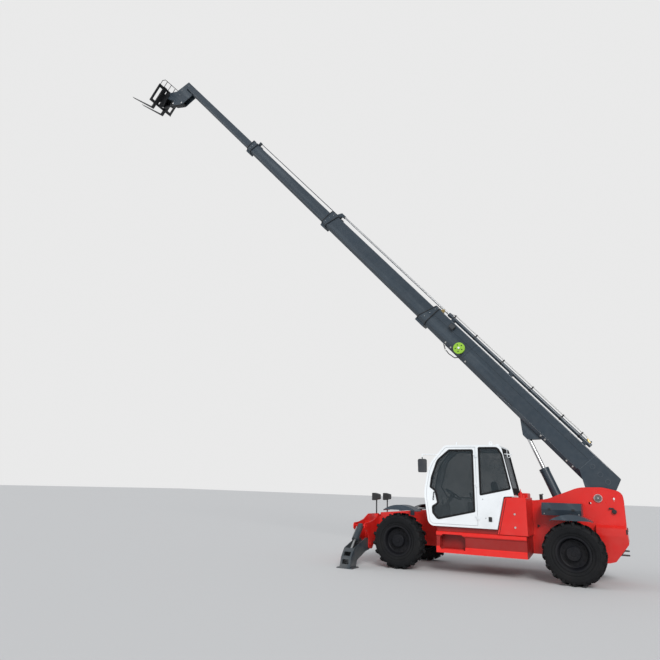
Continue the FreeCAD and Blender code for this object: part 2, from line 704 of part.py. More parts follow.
def engine_hood():
    """Lid of the engine bay, hinged along its inner top edge: top, rounded shoulder and outer side."""
    low = HOOD_SPLIT + RUN_GAP
    sheet = 12.0
    section = [
        (HOOD_INNER_Y, low, 0),
        (-BAY_OUT, low, 0),
        (-BAY_OUT, HOOD_TOP - 160.0, 60.0),
        (-BAY_OUT + 200.0, HOOD_TOP, 90.0),
        (HOOD_INNER_Y, HOOD_TOP, 0),
    ]
    inner = [
        (HOOD_INNER_Y - sheet, low - sheet, 0),
        (-BAY_OUT + sheet, low - sheet, 0),
        (-BAY_OUT + sheet, HOOD_TOP - 166.0, 48.0),
        (-BAY_OUT + 206.0, HOOD_TOP - sheet, 78.0),
        (HOOD_INNER_Y - sheet, HOOD_TOP - sheet, 0),
    ]
    body = plate_x(section, BAY_REAR, BAY_FRONT)
    body = body.cut(plate_x(inner, BAY_REAR + sheet, BAY_FRONT - sheet))
    body = body.cut(
        box(
            BAY_REAR + sheet,
            BAY_FRONT - sheet,
            HOOD_INNER_Y - 2 * sheet,
            FAR,
            low - sheet,
            HOOD_TOP - HOOD_FLANGE,
        )
    )
    slots = [
        box(x, x + 40.0, -BAY_OUT - 10.0, -BAY_OUT + 30.0, low + 50.0, low + 190.0)
        for x in [-820.0 + 75.0 * index for index in range(8)]
    ]
    body = body.cut(Part.makeCompound(slots))
    leaves, bores = [], []
    for x in HOOD_HINGES:
        start = at(x + HINGE_LENGTH + PIN_GAP, HOOD_HINGE_Y, HOOD_HINGE_Z)
        end = at(x + 2 * HINGE_LENGTH, HOOD_HINGE_Y, HOOD_HINGE_Z)
        leaves.append(rod(start, end, HINGE_RADIUS))
        leaves.append(box(start.x, end.x, HOOD_INNER_Y, HOOD_HINGE_Y, HOOD_HINGE_Z - 8.0, HOOD_HINGE_Z + 8.0))
        bores.append(rod(start - X_AXIS, end + X_AXIS, HINGE_PIN + PIN_GAP))
    return fuse([body] + leaves).cut(Part.makeCompound(bores))


EXHAUST_TOP = 1700.0


def exhaust():
    """Upright exhaust pipe at the rear of the engine bay."""
    x, y = BAY_REAR - 70.0, -620.0
    pipe = tube(at(x, y, 1000.0), at(x, y, EXHAUST_TOP), 38.0, 33.0)
    silencer = tube(at(x, y, 1060.0), at(x, y, 1500.0), 62.0, 37.0)
    strap = box(x, BAY_REAR, y - 25.0, y + 25.0, 1110.0, 1150.0)
    strap = strap.cut(rod(at(x, y, 1000.0), at(x, y, EXHAUST_TOP), 36.0))
    return fuse([pipe, silencer, strap])


def drive_line():
    """Gearbox between the side plates and a drive shaft to each axle."""
    case = box(-480.0, 60.0, -190.0, 190.0, 520.0, 800.0)
    case = case.makeFillet(35.0, [edge for edge in case.Edges if edge.Length > 300.0])
    hangers = [box(x, x + 60.0, -FRAME_INNER, FRAME_INNER, 640.0, 700.0) for x in (-420.0, -60.0)]
    front_end = AXLE_X - 300.0
    shafts = [
        rod(at(40.0, 0, AXLE_Z), at(front_end, 0, AXLE_Z), 38.0),
        rod(at(-front_end, 0, AXLE_Z), at(-460.0, 0, AXLE_Z), 38.0),
        rod(at(front_end - 60.0, 0, AXLE_Z), at(front_end, 0, AXLE_Z), 70.0),
        rod(at(-front_end, 0, AXLE_Z), at(-front_end + 60.0, 0, AXLE_Z), 70.0),
    ]
    return fuse([case] + hangers + shafts)


# Cab
WAIST_Z = 1640.0
WAIST_TO_ROOF = 1065.0


def above_waist(height):
    """Height of a window's corner above the cab's waist, drawn up or down with the roof."""
    return WAIST_Z + height * (CAB_ROOF - WAIST_Z) / WAIST_TO_ROOF


BROW_ROUNDING = CAB_ROOF - 2005.0

# Side outline of the cab: corners (x, z, rounding)
CAB_OUTLINE = [
    (COVER_FRONT_LOW + 10.0, CAB_BOTTOM, 0),
    (1095.0, CAB_BOTTOM, 150.0),
    (1192.0, 1660.0, 900.0),
    (1066.0, above_waist(635.0), BROW_ROUNDING),
    (690.0, CAB_ROOF, 140.0),
    (-553.0, CAB_ROOF, 120.0),
    (-775.0, COVER_TOP + 20.0, 0),
    (-558.0, COVER_TOP + 6.0, 40.0),
]


def drawn_in(corners, inset):
    """The same outline moved in by inset: its sides stay parallel, its roundings concentric."""
    area = 0.0
    for index, (a, b, radius) in enumerate(corners):
        area += corners[index - 1][0] * b - a * corners[index - 1][1]
    turn = 1.0 if area > 0 else -1.0
    moved = []
    for index, (a, b, radius) in enumerate(corners):
        corner = FreeCAD.Vector(a, b, 0)
        ahead = (FreeCAD.Vector(*corners[(index + 1) % len(corners)][:2], 0) - corner).normalize()
        behind = (corner - FreeCAD.Vector(*corners[index - 1][:2], 0)).normalize()
        normals = [FreeCAD.Vector(-run.y, run.x, 0) * turn for run in (behind, ahead)]
        bisector = (normals[0] + normals[1]).normalize()
        spot = corner + bisector * (inset / bisector.dot(normals[0]))
        convex = (behind.x * ahead.y - behind.y * ahead.x) * turn > 0
        moved.append((spot.x, spot.y, max(radius - inset, 0) if convex else radius + inset))
    return moved


def cab_prism(inset, y_low, y_high):
    """The cab's side outline, moved in by inset and drawn out from y_low to y_high."""
    return plate_y(drawn_in(CAB_OUTLINE, inset), y_low, y_high)


def ahead_of(x):
    """All space ahead of x, to cut with."""
    return box(x, FAR, -FAR, FAR, -FAR, FAR)


REBATE_Y = CAB_LEFT - 45.0
DOOR_INSET = 45.0
LIP_INSET = 72.0
GLASS = 8.0
SCREEN_LOW = 1330.0
SCREEN_HIGH = CAB_ROOF - 105.0
REAR_GLASS_LOW = above_waist(150.0)
REAR_GLASS_HIGH = CAB_ROOF - 185.0
GLASS_SIDE = 70.0


def screen_zone():
    """Space of the windscreen opening."""
    return box(700.0, FAR, CAB_RIGHT + GLASS_SIDE, CAB_LEFT - GLASS_SIDE, SCREEN_LOW, SCREEN_HIGH)


def rear_zone():
    """Space of the rear window opening."""
    return box(-FAR, -400.0, CAB_RIGHT + GLASS_SIDE, CAB_LEFT - GLASS_SIDE, REAR_GLASS_LOW, REAR_GLASS_HIGH)


def quarter_window(inset):
    """Rear quarter window on the left: corners (x, z, rounding), moved in by inset."""
    return [
        (-78.0 - inset, 1655.0 + inset, 10.0),
        (-78.0 - inset, CAB_ROOF - 65.0 - inset, 10.0),
        (-478.0 + inset, CAB_ROOF - 65.0 - inset, 90.0),
        (-560.0 + inset, CAB_ROOF - 205.0, 60.0),
        (-700.0 + inset, above_waist(155.0) + inset, 20.0),
    ]


def right_window(inset):
    """Large window on the boom's side of the cab."""
    return [
        (900.0 - inset, 1560.0 + inset, 60.0),
        (1040.0 - inset, above_waist(160.0), 60.0),
        (880.0 - inset, above_waist(740.0), 300.0),
        (620.0 - inset, CAB_ROOF - 105.0 - inset, 120.0),
        (-470.0 + inset, CAB_ROOF - 105.0 - inset, 60.0),
        (-620.0 + inset, above_waist(120.0) + inset, 60.0),
        (-400.0, 1560.0 + inset, 60.0),
    ]


def door_window(inset):
    """Window of the door: corners (x, z, rounding), with a bay in its front edge for the handle."""
    return [
        (68.0 + inset, 1306.0 + inset, 16.0),
        (68.0 + inset, CAB_ROOF - 113.0 - inset, 20.0),
        (590.0 - inset * 0.5, CAB_ROOF - 113.0 - inset, 60.0),
        (860.0 - inset, above_waist(730.0), 260.0),
        (1000.0 - inset, above_waist(360.0), 300.0),
        (1035.0 - inset, above_waist(150.0), 20.0),
        (925.0 - inset, 1712.0, 60.0),
        (868.0 - inset, 1445.0, 50.0),
        (992.0 - inset, 1368.0, 40.0),
        (985.0 - inset, 1240.0, 60.0),
        (880.0 - inset, 1118.0 + inset, 70.0),
    ]


def cab_shell():
    """Hollow cab body with its openings cut and a rebate for the door."""
    body = cab_prism(0, CAB_RIGHT, CAB_LEFT)
    body = body.cut(cab_prism(CAB_WALL, CAB_RIGHT + CAB_WALL, REBATE_Y - 30.0))
    opening = cab_prism(LIP_INSET, CAB_RIGHT + CAB_WALL, CAB_LEFT + 1.0).common(ahead_of(PILLAR_X + 35.0))
    rebate = cab_prism(DOOR_INSET, REBATE_Y, CAB_LEFT + 1.0).common(ahead_of(PILLAR_X))
    body = body.cut(opening).cut(rebate)
    body = body.cut(screen_zone().cut(box(0, FAR, CAB_LEFT - GLASS_SIDE, CAB_LEFT, 0, FAR)))
    body = body.cut(rear_zone())
    body = body.cut(plate_y(quarter_window(0.0), REBATE_Y - 40.0, CAB_LEFT + 1.0))
    body = body.cut(plate_y(right_window(0.0), CAB_RIGHT - 1.0, CAB_RIGHT + CAB_WALL + 1.0))
    return body


def cab_glass():
    """Fixed panes: curved windscreen, rear window, left quarter window and right window."""
    pane = cab_prism(12.0, CAB_RIGHT, CAB_LEFT).cut(cab_prism(12.0 + GLASS, CAB_RIGHT, CAB_LEFT))
    front = pane.common(screen_zone())
    rear = pane.common(rear_zone())
    left = plate_y(quarter_window(SEAT_GAP), CAB_LEFT - 20.0, CAB_LEFT - 20.0 + GLASS)
    right = plate_y(right_window(SEAT_GAP), CAB_RIGHT + 12.0, CAB_RIGHT + 12.0 + GLASS)
    return Part.makeCompound([front, rear, left, right])


def cab_door():
    """Door: one thick frame panel with a window, a handle recess and three hinge knuckles."""
    body = cab_prism(DOOR_INSET + DOOR_GAP, REBATE_Y + 2.0, CAB_LEFT).common(ahead_of(PILLAR_X + DOOR_GAP))
    body = body.cut(plate_y(door_window(0.0), REBATE_Y - 1.0, CAB_LEFT + 1.0))
    recess = [(955.0, 1500.0, 14.0), (935.0, 1690.0, 14.0), (975.0, 1690.0, 14.0), (995.0, 1500.0, 14.0)]
    return body.cut(plate_y(recess, CAB_LEFT - 22.0, CAB_LEFT + 1.0))


def door_glass():
    """Pane of the door."""
    return plate_y(door_window(SEAT_GAP), CAB_LEFT - 24.0, CAB_LEFT - 24.0 + GLASS)


HINGE_Y = CAB_LEFT + 14.0
HINGE_X = PILLAR_X + 3.0
HINGE_RADIUS = 11.0
HINGE_PIN = 5.0
HINGE_LENGTH = 40.0
HINGE_HEIGHTS = (1140.0, above_waist(170.0), CAB_ROOF - 265.0)


def door_hinges():
    """Fixed knuckles of the door's hinges on the pillar, each with its pin."""
    solids = []
    for z in HINGE_HEIGHTS:
        start = at(HINGE_X, HINGE_Y, z)
        barrel = rod(start, start + Z_AXIS * HINGE_LENGTH, HINGE_RADIUS)
        pin = rod(start, start + Z_AXIS * HINGE_LENGTH * 2, HINGE_PIN)
        leaf = box(PILLAR_X - 40.0, HINGE_X, CAB_LEFT, HINGE_Y, z, z + HINGE_LENGTH)
        solids.append(fuse([barrel, pin, leaf]))
    return solids


def hinged_door():
    """The door with its own hinge knuckles on the fixed pins."""
    solids, bores = [cab_door()], []
    for z in HINGE_HEIGHTS:
        start = at(HINGE_X, HINGE_Y, z + HINGE_LENGTH + PIN_GAP)
        end = at(HINGE_X, HINGE_Y, z + 2 * HINGE_LENGTH)
        solids.append(rod(start, end, HINGE_RADIUS))
        solids.append(box(HINGE_X, PILLAR_X + 46.0, CAB_LEFT, HINGE_Y, start.z, end.z))
        bores.append(rod(start - Z_AXIS, end + Z_AXIS, HINGE_PIN + PIN_GAP))
    return fuse(solids).cut(Part.makeCompound(bores))


CAB_MID = (CAB_RIGHT + CAB_LEFT) / 2
CAB_FLOOR = CAB_BOTTOM + CAB_WALL


def driver_seat():
    """Seat on its box: cushion, back and head rest."""
    pedestal = box(-330.0, 110.0, CAB_MID - 190.0, CAB_MID + 190.0, CAB_FLOOR, 1290.0)
    cushion = box(-330.0, 170.0, CAB_MID - 240.0, CAB_MID + 240.0, 1290.0, 1410.0)
    cushion = cushion.makeFillet(35.0, cushion.Edges)
    back = plate_y(
        [(-330.0, 1380.0, 20.0), (-250.0, 1380.0, 20.0), (-330.0, 1960.0, 40.0), (-410.0, 1960.0, 40.0)],
        CAB_MID - 230.0,
        CAB_MID + 230.0,
    )
    return fuse([pedestal, cushion, back])


def steering_column():
    """Dashboard, column and steering wheel."""
    dash = plate_y(
        [(800.0, CAB_FLOOR, 0), (1040.0, 1140.0, 60.0), (1060.0, 1330.0, 20.0), (820.0, 1420.0, 30.0)],
        CAB_RIGHT + 80.0,
        CAB_LEFT - 110.0,
    )
    low = at(820.0, CAB_MID, 1380.0)
    high = at(640.0, CAB_MID, 1640.0)
    column = rod(low, high, 38.0)
    lean = (high - low).normalize()
    ring = Part.makeTorus(190.0, 14.0, high, lean)
    across = lean.cross(Y_AXIS)
    spokes = [rod(high - Y_AXIS * 185.0, high + Y_AXIS * 185.0, 11.0), rod(high, high - across * 185.0, 11.0)]
    hub = rod(high - lean * 20.0, high + lean * 25.0, 50.0)
    return fuse([dash, column, hub, ring] + spokes)


def mirror_arm():
    """White arm from the cab's front corner with its dark mirror housing."""
    y = CAB_LEFT - 60.0
    arm_z = CAB_ROOF - 205.0
    root = at(842.0, y, arm_z)
    bend = at(1218.0, y + 60.0, arm_z)
    drop = at(1218.0, y + 60.0, arm_z - 100.0)
    arm = fuse([rod(root, bend, 12.0), rod(bend, drop, 12.0), Part.makeSphere(12.0, bend)])
    arm = arm.cut(cab_prism(0, CAB_RIGHT, CAB_LEFT))
    head = plate_y(
        [
            (1120.0, arm_z - 400.0, 30.0),
            (1312.0, arm_z - 400.0, 30.0),
            (1318.0, arm_z - 100.0, 40.0),
            (1116.0, arm_z - 100.0, 40.0),
        ],
        y + 35.0,
        y + 85.0,
    )
    return fuse([arm, head])


BEACON_X = 770.0
BEACON_Y = 480.0
BEACON_FOOT = CAB_ROOF - 111.0
EYE_X = -330.0
EYE_RISE = 46.0
EYE_BORE = 18.0


def roof_fittings():
    """Beacon, front post and lifting eyes on the cab's roof."""
    stem_top = at(BEACON_X, BEACON_Y, BEACON_FOOT)
    beacon = fuse(
        [
            rod(at(BEACON_X, BEACON_Y, CAB_ROOF - 300.0), stem_top, 18.0),
            rod(stem_top, stem_top + Z_AXIS * 20.0, 50.0),
            rod(stem_top + Z_AXIS * 20.0, stem_top + Z_AXIS * 150.0, 42.0),
        ]
    ).cut(cab_prism(0, CAB_RIGHT, CAB_LEFT))
    post = rod(at(430.0, 1080.0, CAB_ROOF), at(430.0, 1080.0, CAB_ROOF + 70.0), 16.0)
    solids = [beacon, post]
    for y in (CAB_RIGHT + 70.0, CAB_LEFT - 70.0):
        eye_z = CAB_ROOF + EYE_RISE
        outline = [
            (EYE_X - 40.0, CAB_ROOF, 0),
            (EYE_X + 40.0, CAB_ROOF, 0),
            (EYE_X + 35.0, eye_z + 34.0, 34.0),
            (EYE_X - 35.0, eye_z + 34.0, 34.0),
        ]
        plate = plate_y(outline, y - 6.0, y + 6.0)
        solids.append(plate.cut(rod(at(EYE_X, y - 10.0, eye_z), at(EYE_X, y + 10.0, eye_z), EYE_BORE)))
    return Part.makeCompound(solids)


# Front: stabiliser bracket, legs and their cylinders
LAMP_X = LEG_X - 100.0
LAMP_Y = 350.0
LAMP_SHELF = 1120.0
BRACKET_PLATE = 20.0
BRACKET_HALF = LEG_WIDTH / 2 + RUN_GAP
RAM_EYE_Y = 1060.0
RAM_EYE_Z = 860.0
RAM_ROD_Y = 1580.0
RAM_ROD_Z = 350.0
RAM_PIN = 22.0
FOOT_IN = 1540.0
FOOT_OUT = 1900.0


def stabiliser_bracket():
    """Two transverse plates with a box between, carrying both legs and their cylinders."""
    half = [
        (FRAME_OUTER + 30.0, 1105.0, 40.0),
        (600.0, 985.0, 60.0),
        (880.0, 935.0, 40.0),
        (1150.0, 925.0, 60.0),
        (1160.0, 800.0, 50.0),
        (985.0, 730.0, 60.0),
        (905.0, 560.0, 30.0),
        (900.0, 350.0, 60.0),
        (720.0, 340.0, 60.0),
        (560.0, 500.0, 60.0),
    ]
    outline = half + [(-y, z, radius) for y, z, radius in reversed(half)]
    rear_x = LEG_X - BRACKET_HALF - BRACKET_PLATE
    front_x = LEG_X + BRACKET_HALF
    solids = [plate_x(outline, x, x + BRACKET_PLATE) for x in (rear_x, front_x)]
    solids.append(box(rear_x, front_x + BRACKET_PLATE, -500.0, 500.0, 930.0, 950.0))
    solids.append(box(rear_x, front_x + BRACKET_PLATE, -500.0, 500.0, 520.0, 540.0))
    solids.append(box(NOSE_X, rear_x, -FRAME_OUTER, FRAME_OUTER, 560.0, 1060.0))
    for y in (-LAMP_Y, LAMP_Y):
        solids.append(box(rear_x, LAMP_X + 40.0, y - 50.0, y + 50.0, 1060.0, LAMP_SHELF))
    for y in (-500.0, 480.0):
        solids.append(box(rear_x, front_x + BRACKET_PLATE, y, y + 20.0, 520.0, 950.0))
    for side in (1, -1):
        for y, z, radius in ((LEG_PIVOT_Y, LEG_PIVOT_Z, 35.0), (RAM_EYE_Y, RAM_EYE_Z, RAM_PIN)):
            start = at(rear_x - 12.0, side * y, z)
            solids.append(rod(start, at(front_x + BRACKET_PLATE + 12.0, side * y, z), radius))
    return fuse(solids)


def stabiliser_leg():
    """Left leg: channel of two cheeks with floor, end plate with a window, and a foot plate."""
    low_x = LEG_X - LEG_WIDTH / 2
    high_x = LEG_X + LEG_WIDTH / 2
    cheek = [
        (LEG_PIVOT_Y - 95.0, LEG_PIVOT_Z + 5.0, 80.0),
        (LEG_PIVOT_Y - 10.0, LEG_PIVOT_Z + 115.0, 80.0),
        (1040.0, 600.0, 60.0),
        (1660.0, 410.0, 20.0),
        (1810.0, 225.0, 20.0),
        (1872.0, 24.0, 0),
        (1560.0, 24.0, 0),
        (1500.0, 150.0, 60.0),
        (1040.0, 300.0, 60.0),
        (LEG_PIVOT_Y, LEG_PIVOT_Z - 115.0, 80.0),
    ]
    cheeks = [plate_x(cheek, x, x + 14.0) for x in (low_x, high_x - 14.0)]
    floor_plate = plate_x(
        [
            (980.0, 322.0, 0),
            (1494.0, 154.0, 0),
            (1556.0, 24.0, 0),
            (1572.0, 24.0, 0),
            (1506.0, 163.0, 0),
            (980.0, 334.0, 0),
        ],
        low_x,
        high_x,
    )
    brow = plate_x(
        [
            (1652.0, 405.0, 0),
            (1660.0, 411.0, 0),
            (1810.0, 226.0, 0),
            (1872.0, 24.0, 0),
            (1860.0, 24.0, 0),
            (1800.0, 220.0, 0),
        ],
        low_x,
        high_x,
    )
    brow = brow.cut(box(LEG_X - 80.0, LEG_X + 80.0, 1700.0, 1900.0, 255.0, 335.0))
    brow = brow.cut(box(LEG_X - 80.0, LEG_X + 80.0, 1700.0, 1900.0, 90.0, 185.0))
    foot = box(LEG_X - 190.0, LEG_X + 190.0, FOOT_IN, FOOT_OUT, 0.0, 26.0)
    foot = foot.makeChamfer(12.0, [edge for edge in foot.Edges if edge.BoundBox.ZMin > 20.0])
    bush = tube(at(low_x, LEG_PIVOT_Y, LEG_PIVOT_Z), at(high_x, LEG_PIVOT_Y, LEG_PIVOT_Z), 60.0, 36.0)
    whole = fuse(cheeks + [floor_plate, brow, foot, bush])
    pivot = rod(at(low_x, LEG_PIVOT_Y, LEG_PIVOT_Z), at(high_x, LEG_PIVOT_Y, LEG_PIVOT_Z), 35.0 + PIN_GAP)
    return whole.cut(pivot)


RAM_BARREL = 70.0
RAM_ROD = 28.0
RAM_BODY = 425.0


def ram_line():
    """Start and unit direction of the left stabiliser cylinder, from its eye to its rod's eye."""
    start = at(LEG_X, RAM_EYE_Y, RAM_EYE_Z)
    run = at(LEG_X, RAM_ROD_Y, RAM_ROD_Z) - start
    length = run.Length
    return start, run.normalize(), length


def ram_barrel():
    """Cylinder body of the left stabiliser, with its eye, gland and open bore."""
    start, line, length = ram_line()
    body = rod(start, start + line * RAM_BODY, RAM_BARREL)
    gland = rod(start + line * (RAM_BODY - 50.0), start + line * RAM_BODY, RAM_BARREL + 8.0)
    eye = rod(start - X_AXIS * 45.0, start + X_AXIS * 45.0, 50.0)
    whole = fuse([body, gland, eye])
    bore = rod(start + line * 70.0, start + line * (RAM_BODY + 1.0), RAM_ROD + PIN_GAP)
    pin = rod(start - X_AXIS * 2 * RAM_BARREL, start + X_AXIS * 2 * RAM_BARREL, RAM_PIN + PIN_GAP)
    return whole.cut(bore).cut(pin)


def ram_rod():
    """Chromed rod of the left stabiliser, with its eye."""
    start, line, length = ram_line()
    end = start + line * length
    body = rod(start + line * (RAM_BODY - 90.0), end, RAM_ROD)
    eye = rod(end - X_AXIS * 35.0, end + X_AXIS * 35.0, 42.0)
    return fuse([body, eye]).cut(rod(end - X_AXIS * 40.0, end + X_AXIS * 40.0, RAM_PIN))


def headlamps():
    """Two lamp boxes on stalks over the front of the frame."""
    solids = []
    for side in (1, -1):
        y = side * LAMP_Y
        stalk = rod(at(LAMP_X, y, LAMP_SHELF), at(LAMP_X, y, 1440.0), 16.0)
        outline = [
            (LAMP_X - 75.0, 1462.0, 25.0),
            (LAMP_X - 75.0, 1578.0, 25.0),
            (LAMP_X + 50.0, 1610.0, 15.0),
            (LAMP_X + 85.0, 1604.0, 8.0),
            (LAMP_X + 85.0, 1436.0, 8.0),
            (LAMP_X + 50.0, 1430.0, 15.0),
        ]
        head = plate_y(outline, y - 95.0, y + 95.0)
        lens_seat = box(LAMP_X + 77.0, LAMP_X + 90.0, y - 83.0, y + 83.0, 1448.0, 1592.0)
        head = head.cut(lens_seat)
        solids.append(fuse([stalk, head]))
    return Part.makeCompound(solids)


# Boom sections in the boom's own frame: widths and heights of the hollow tubes.
# Columns: half width, top, crease, bottom, half width of bottom, wall, start, end
SECTIONS = {
    1: (200.0, 615.0, 150.0, 45.0, 110.0, 10.0, 0.0, 5790.0),
    2: (168.0, 560.0, 165.0, 75.0, 90.0, 9.0, 4650.0, 10540.0),
    3: (137.0, 485.0, 180.0, 104.0, 72.0, 8.0, 9370.0, 15320.0),
    4: (109.0, 405.0, 195.0, 130.0, 55.0, 8.0, 14210.0, 20300.0),
}
PAD_GAP = 0.5
COLLAR_WALL = 14.0


def section_outline(number, grow):
    """Cross-section of a boom tube: corners (y, n, rounding), grown outwards by grow."""
    half, top, crease, bottom, foot, wall, start, end = SECTIONS[number]
    round_top = max(18.0 + grow, 4.0)
    slope = grow * 0.5
    side = [
        (half + grow, top + grow, round_top),
        (half + grow, crease - slope, 12.0),
        (foot + slope, bottom - grow, 12.0),
    ]
    return side + [(-y, n, radius) for y, n, radius in reversed(side)]


def section_prism(number, grow, start, end):
    """A stretch of a boom tube's outline, in the boom's own frame."""
    return plate_x(section_outline(number, grow), start, end)


def section_tube(number):
    """One hollow boom tube, open at both ends."""
    wall, start, end = SECTIONS[number][5:]
    return section_prism(number, 0.0, start, end).cut(section_prism(number, -wall, start - 1.0, end + 1.0))


# Front collars: rear end at the top and bottom, front end at the top and bottom, pad box from and to
COLLARS = {
    1: (5660.0, 5690.0, 5800.0, 6020.0, 5700.0, 6010.0),
    2: (10220.0, 10410.0, 10550.0, 10610.0, 10370.0, 10595.0),
    3: (15030.0, 15150.0, 15330.0, 15370.0, 15140.0, 15350.0),
}


def collar(number):
    """Front collar of a tube: slanted sleeve with slide pads inside and a pad box below."""
    half, top, crease, bottom, foot, wall, start, end = SECTIONS[number]
    rear_top, rear_low, front_top, front_low, box_rear, box_front = COLLARS[number]
    low, high = bottom - COLLAR_WALL, top + COLLAR_WALL
    slant = [(rear_top, high, 0), (front_top, high, 0), (front_low, low, 0), (rear_low, low, 0)]
    side = plate_y(slant, -FAR, FAR)
    bore = section_prism(number + 1, PAD_GAP, start, FAR)
    sleeve = section_prism(number, COLLAR_WALL, rear_top, front_low).common(side)
    sleeve = sleeve.cut(section_prism(number, 0.0, start, end - 150.0))
    pad_box = box(box_rear, box_front, -foot - 30.0, foot + 30.0, bottom - 62.0, bottom - 4.0)
    channel = box(start, FAR, -34.0, 34.0, top - wall - 60.0, top - wall)
    return fuse([sleeve, pad_box]).cut(bore).cut(channel)


def rear_pads(number):
    """Slide pads round the rear end of a tube, filling the tube outside it but for a gap."""
    outer_wall = SECTIONS[number - 1][5]
    start = SECTIONS[number][6]
    ring = section_prism(number - 1, -outer_wall - PAD_GAP, start, start + 110.0)
    return ring.cut(section_prism(number, 0.0, start - 1.0, start + 111.0))


# Boom root: rear cheek plates, pivot tube and the ears of the lift cylinder
CHEEK = 12.0
EAR_S = 1914.0
EAR_N = -120.0
EAR_INNER = 72.0
EAR_PLATE = 28.0
EAR_PIN = 28.0
SLOT_REACH = 170.0


def boom_section_1():
    """Base tube with cheeks, pivot tube, lift ears and front collar."""
    half, top, crease, bottom, foot, wall, start, end = SECTIONS[1]
    cheek_outline = [
        (640.0, top - 20.0, 0),
        (-12.0, top - 6.0, 0),
        (-115.0, 354.0, 0),
        (-150.0, 20.0, 100.0),
        (-40.0, -145.0, 110.0),
        (200.0, -100.0, 60.0),
        (650.0, crease + 8.0, 0),
    ]
    cheek = plate_y(cheek_outline, half, half + CHEEK)
    pivot_reach = FRAME_INNER - RUN_GAP
    pivot = rod(at(0, -pivot_reach, 0), at(0, pivot_reach, 0), 115.0)
    web = [(400.0, bottom + 4.0, 0), (-60.0, bottom + 4.0, 0), (-60.0, -40.0, 0), (60.0, -90.0, 0)]
    webs = [plate_y(web, y, y + 20.0) for y in (-110.0, 90.0)]
    ear_outline = [
        (EAR_S + 380.0, bottom + 2.0, 0),
        (EAR_S + 70.0, EAR_N - 62.0, 66.0),
        (EAR_S - 68.0, EAR_N - 62.0, 66.0),
        (EAR_S - 260.0, bottom + 2.0, 0),
    ]
    ear = plate_y(ear_outline, EAR_INNER, EAR_INNER + EAR_PLATE)
    rod_slot = box(
        EAR_S - SLOT_REACH,
        EAR_S + SLOT_REACH,
        -EAR_INNER + 10.0,
        EAR_INNER - 10.0,
        bottom - 1.0,
        bottom + 2 * wall,
    )
    boss = rod(at(EAR_S, EAR_INNER + 8.0, EAR_N), at(EAR_S, EAR_INNER + EAR_PLATE + 14.0, EAR_N), 44.0)
    solids = [section_tube(1), cheek, mirrored(cheek), pivot, ear, mirrored(ear), boss, mirrored(boss)]
    solids += webs + [collar(1)]
    whole = fuse(solids)
    bore = rod(at(0, -FRAME_OUTER, 0), at(0, FRAME_OUTER, 0), BOOM_PIN_RADIUS + PIN_GAP)
    return on_boom(whole.cut(bore).cut(rod_slot))


TOP_TUBE_N = 690.0
TOP_TUBE_RADIUS = 46.0
TOP_TUBE_START = 850.0
TOP_TUBE_END = 5450.0
TOP_ROD_RADIUS = 26.0
TOP_TUBE_BORE = TOP_ROD_RADIUS + PIN_GAP
LUG_2 = SECTIONS[2][7] - 290.0
LUG_3 = SECTIONS[3][7] - 260.0


def extension_barrel():
    """Long cylinder on top of the base tube that drives the second tube, with its saddles."""
    body = rod(at(TOP_TUBE_START, 0, TOP_TUBE_N), at(TOP_TUBE_END, 0, TOP_TUBE_N), TOP_TUBE_RADIUS)
    gland = rod(at(TOP_TUBE_END - 90.0, 0, TOP_TUBE_N), at(TOP_TUBE_END, 0, TOP_TUBE_N), TOP_TUBE_RADIUS + 9.0)
    top = SECTIONS[1][1]
    places = (TOP_TUBE_START + 90.0, (TOP_TUBE_START + TOP_TUBE_END) / 2, TOP_TUBE_END - 260.0)
    saddles = [box(s, s + 90.0, -60.0, 60.0, top, TOP_TUBE_N) for s in places]
    port_s = TOP_TUBE_START + 60.0
    port = rod(at(port_s, 0, TOP_TUBE_N), at(port_s, 0, TOP_TUBE_N + 90.0), 18.0)
    whole = fuse([body, gland, port] + saddles)
    bore = rod(at(TOP_TUBE_START + 20.0, 0, TOP_TUBE_N), at(TOP_TUBE_END + 1.0, 0, TOP_TUBE_N), TOP_TUBE_BORE)
    return on_boom(whole.cut(bore))


def boom_section_2():
    """Second tube with rear pads, front collar and the lug of the extension rod."""
    start = LUG_2
    top = SECTIONS[2][1]
    outline = [
        (start - 90.0, TOP_TUBE_N - 45.0, 20.0),
        (start - 90.0, TOP_TUBE_N + 40.0, 30.0),
        (start + 60.0, TOP_TUBE_N + 40.0, 30.0),
        (start + 190.0, top + 4.0, 0),
        (start + 10.0, top + 4.0, 0),
        (start + 10.0, TOP_TUBE_N - 45.0, 0),
    ]
    lug = plate_y(outline, -55.0, 55.0)
    solids = [section_tube(2), rear_pads(2), collar(2), lug]
    channel = box(start - 400.0, start + 400.0, -18.0, 18.0, SIDE_ROD_N - 18.0, SIDE_ROD_N + 18.0)
    whole = fuse(solids).cut(channel)
    return on_boom(whole)


SIDE_ROD_N = 590.0
SIDE_ROD_RADIUS = 12.0


def extension_rod():
    """Rod of the top cylinder, fixed to the second tube's lug."""
    start = LUG_2
    inner_end = at(TOP_TUBE_END - 150.0, 0, TOP_TUBE_N)
    return on_boom(rod(inner_end, at(start - 90.0, 0, TOP_TUBE_N), TOP_ROD_RADIUS))


def boom_section_3():
    """Third tube with rear pads, front collar and guide rod."""
    start = LUG_3
    top = SECTIONS[3][1]
    lug = box(start + 20.0, start + 90.0, -40.0, 40.0, top + 6.0, SIDE_ROD_N + 30.0)
    guide = rod(at(LUG_2 + 40.0, 0, SIDE_ROD_N), at(start + 20.0, 0, SIDE_ROD_N), SIDE_ROD_RADIUS)
    return on_boom(fuse([section_tube(3), rear_pads(3), collar(3), lug, guide]))


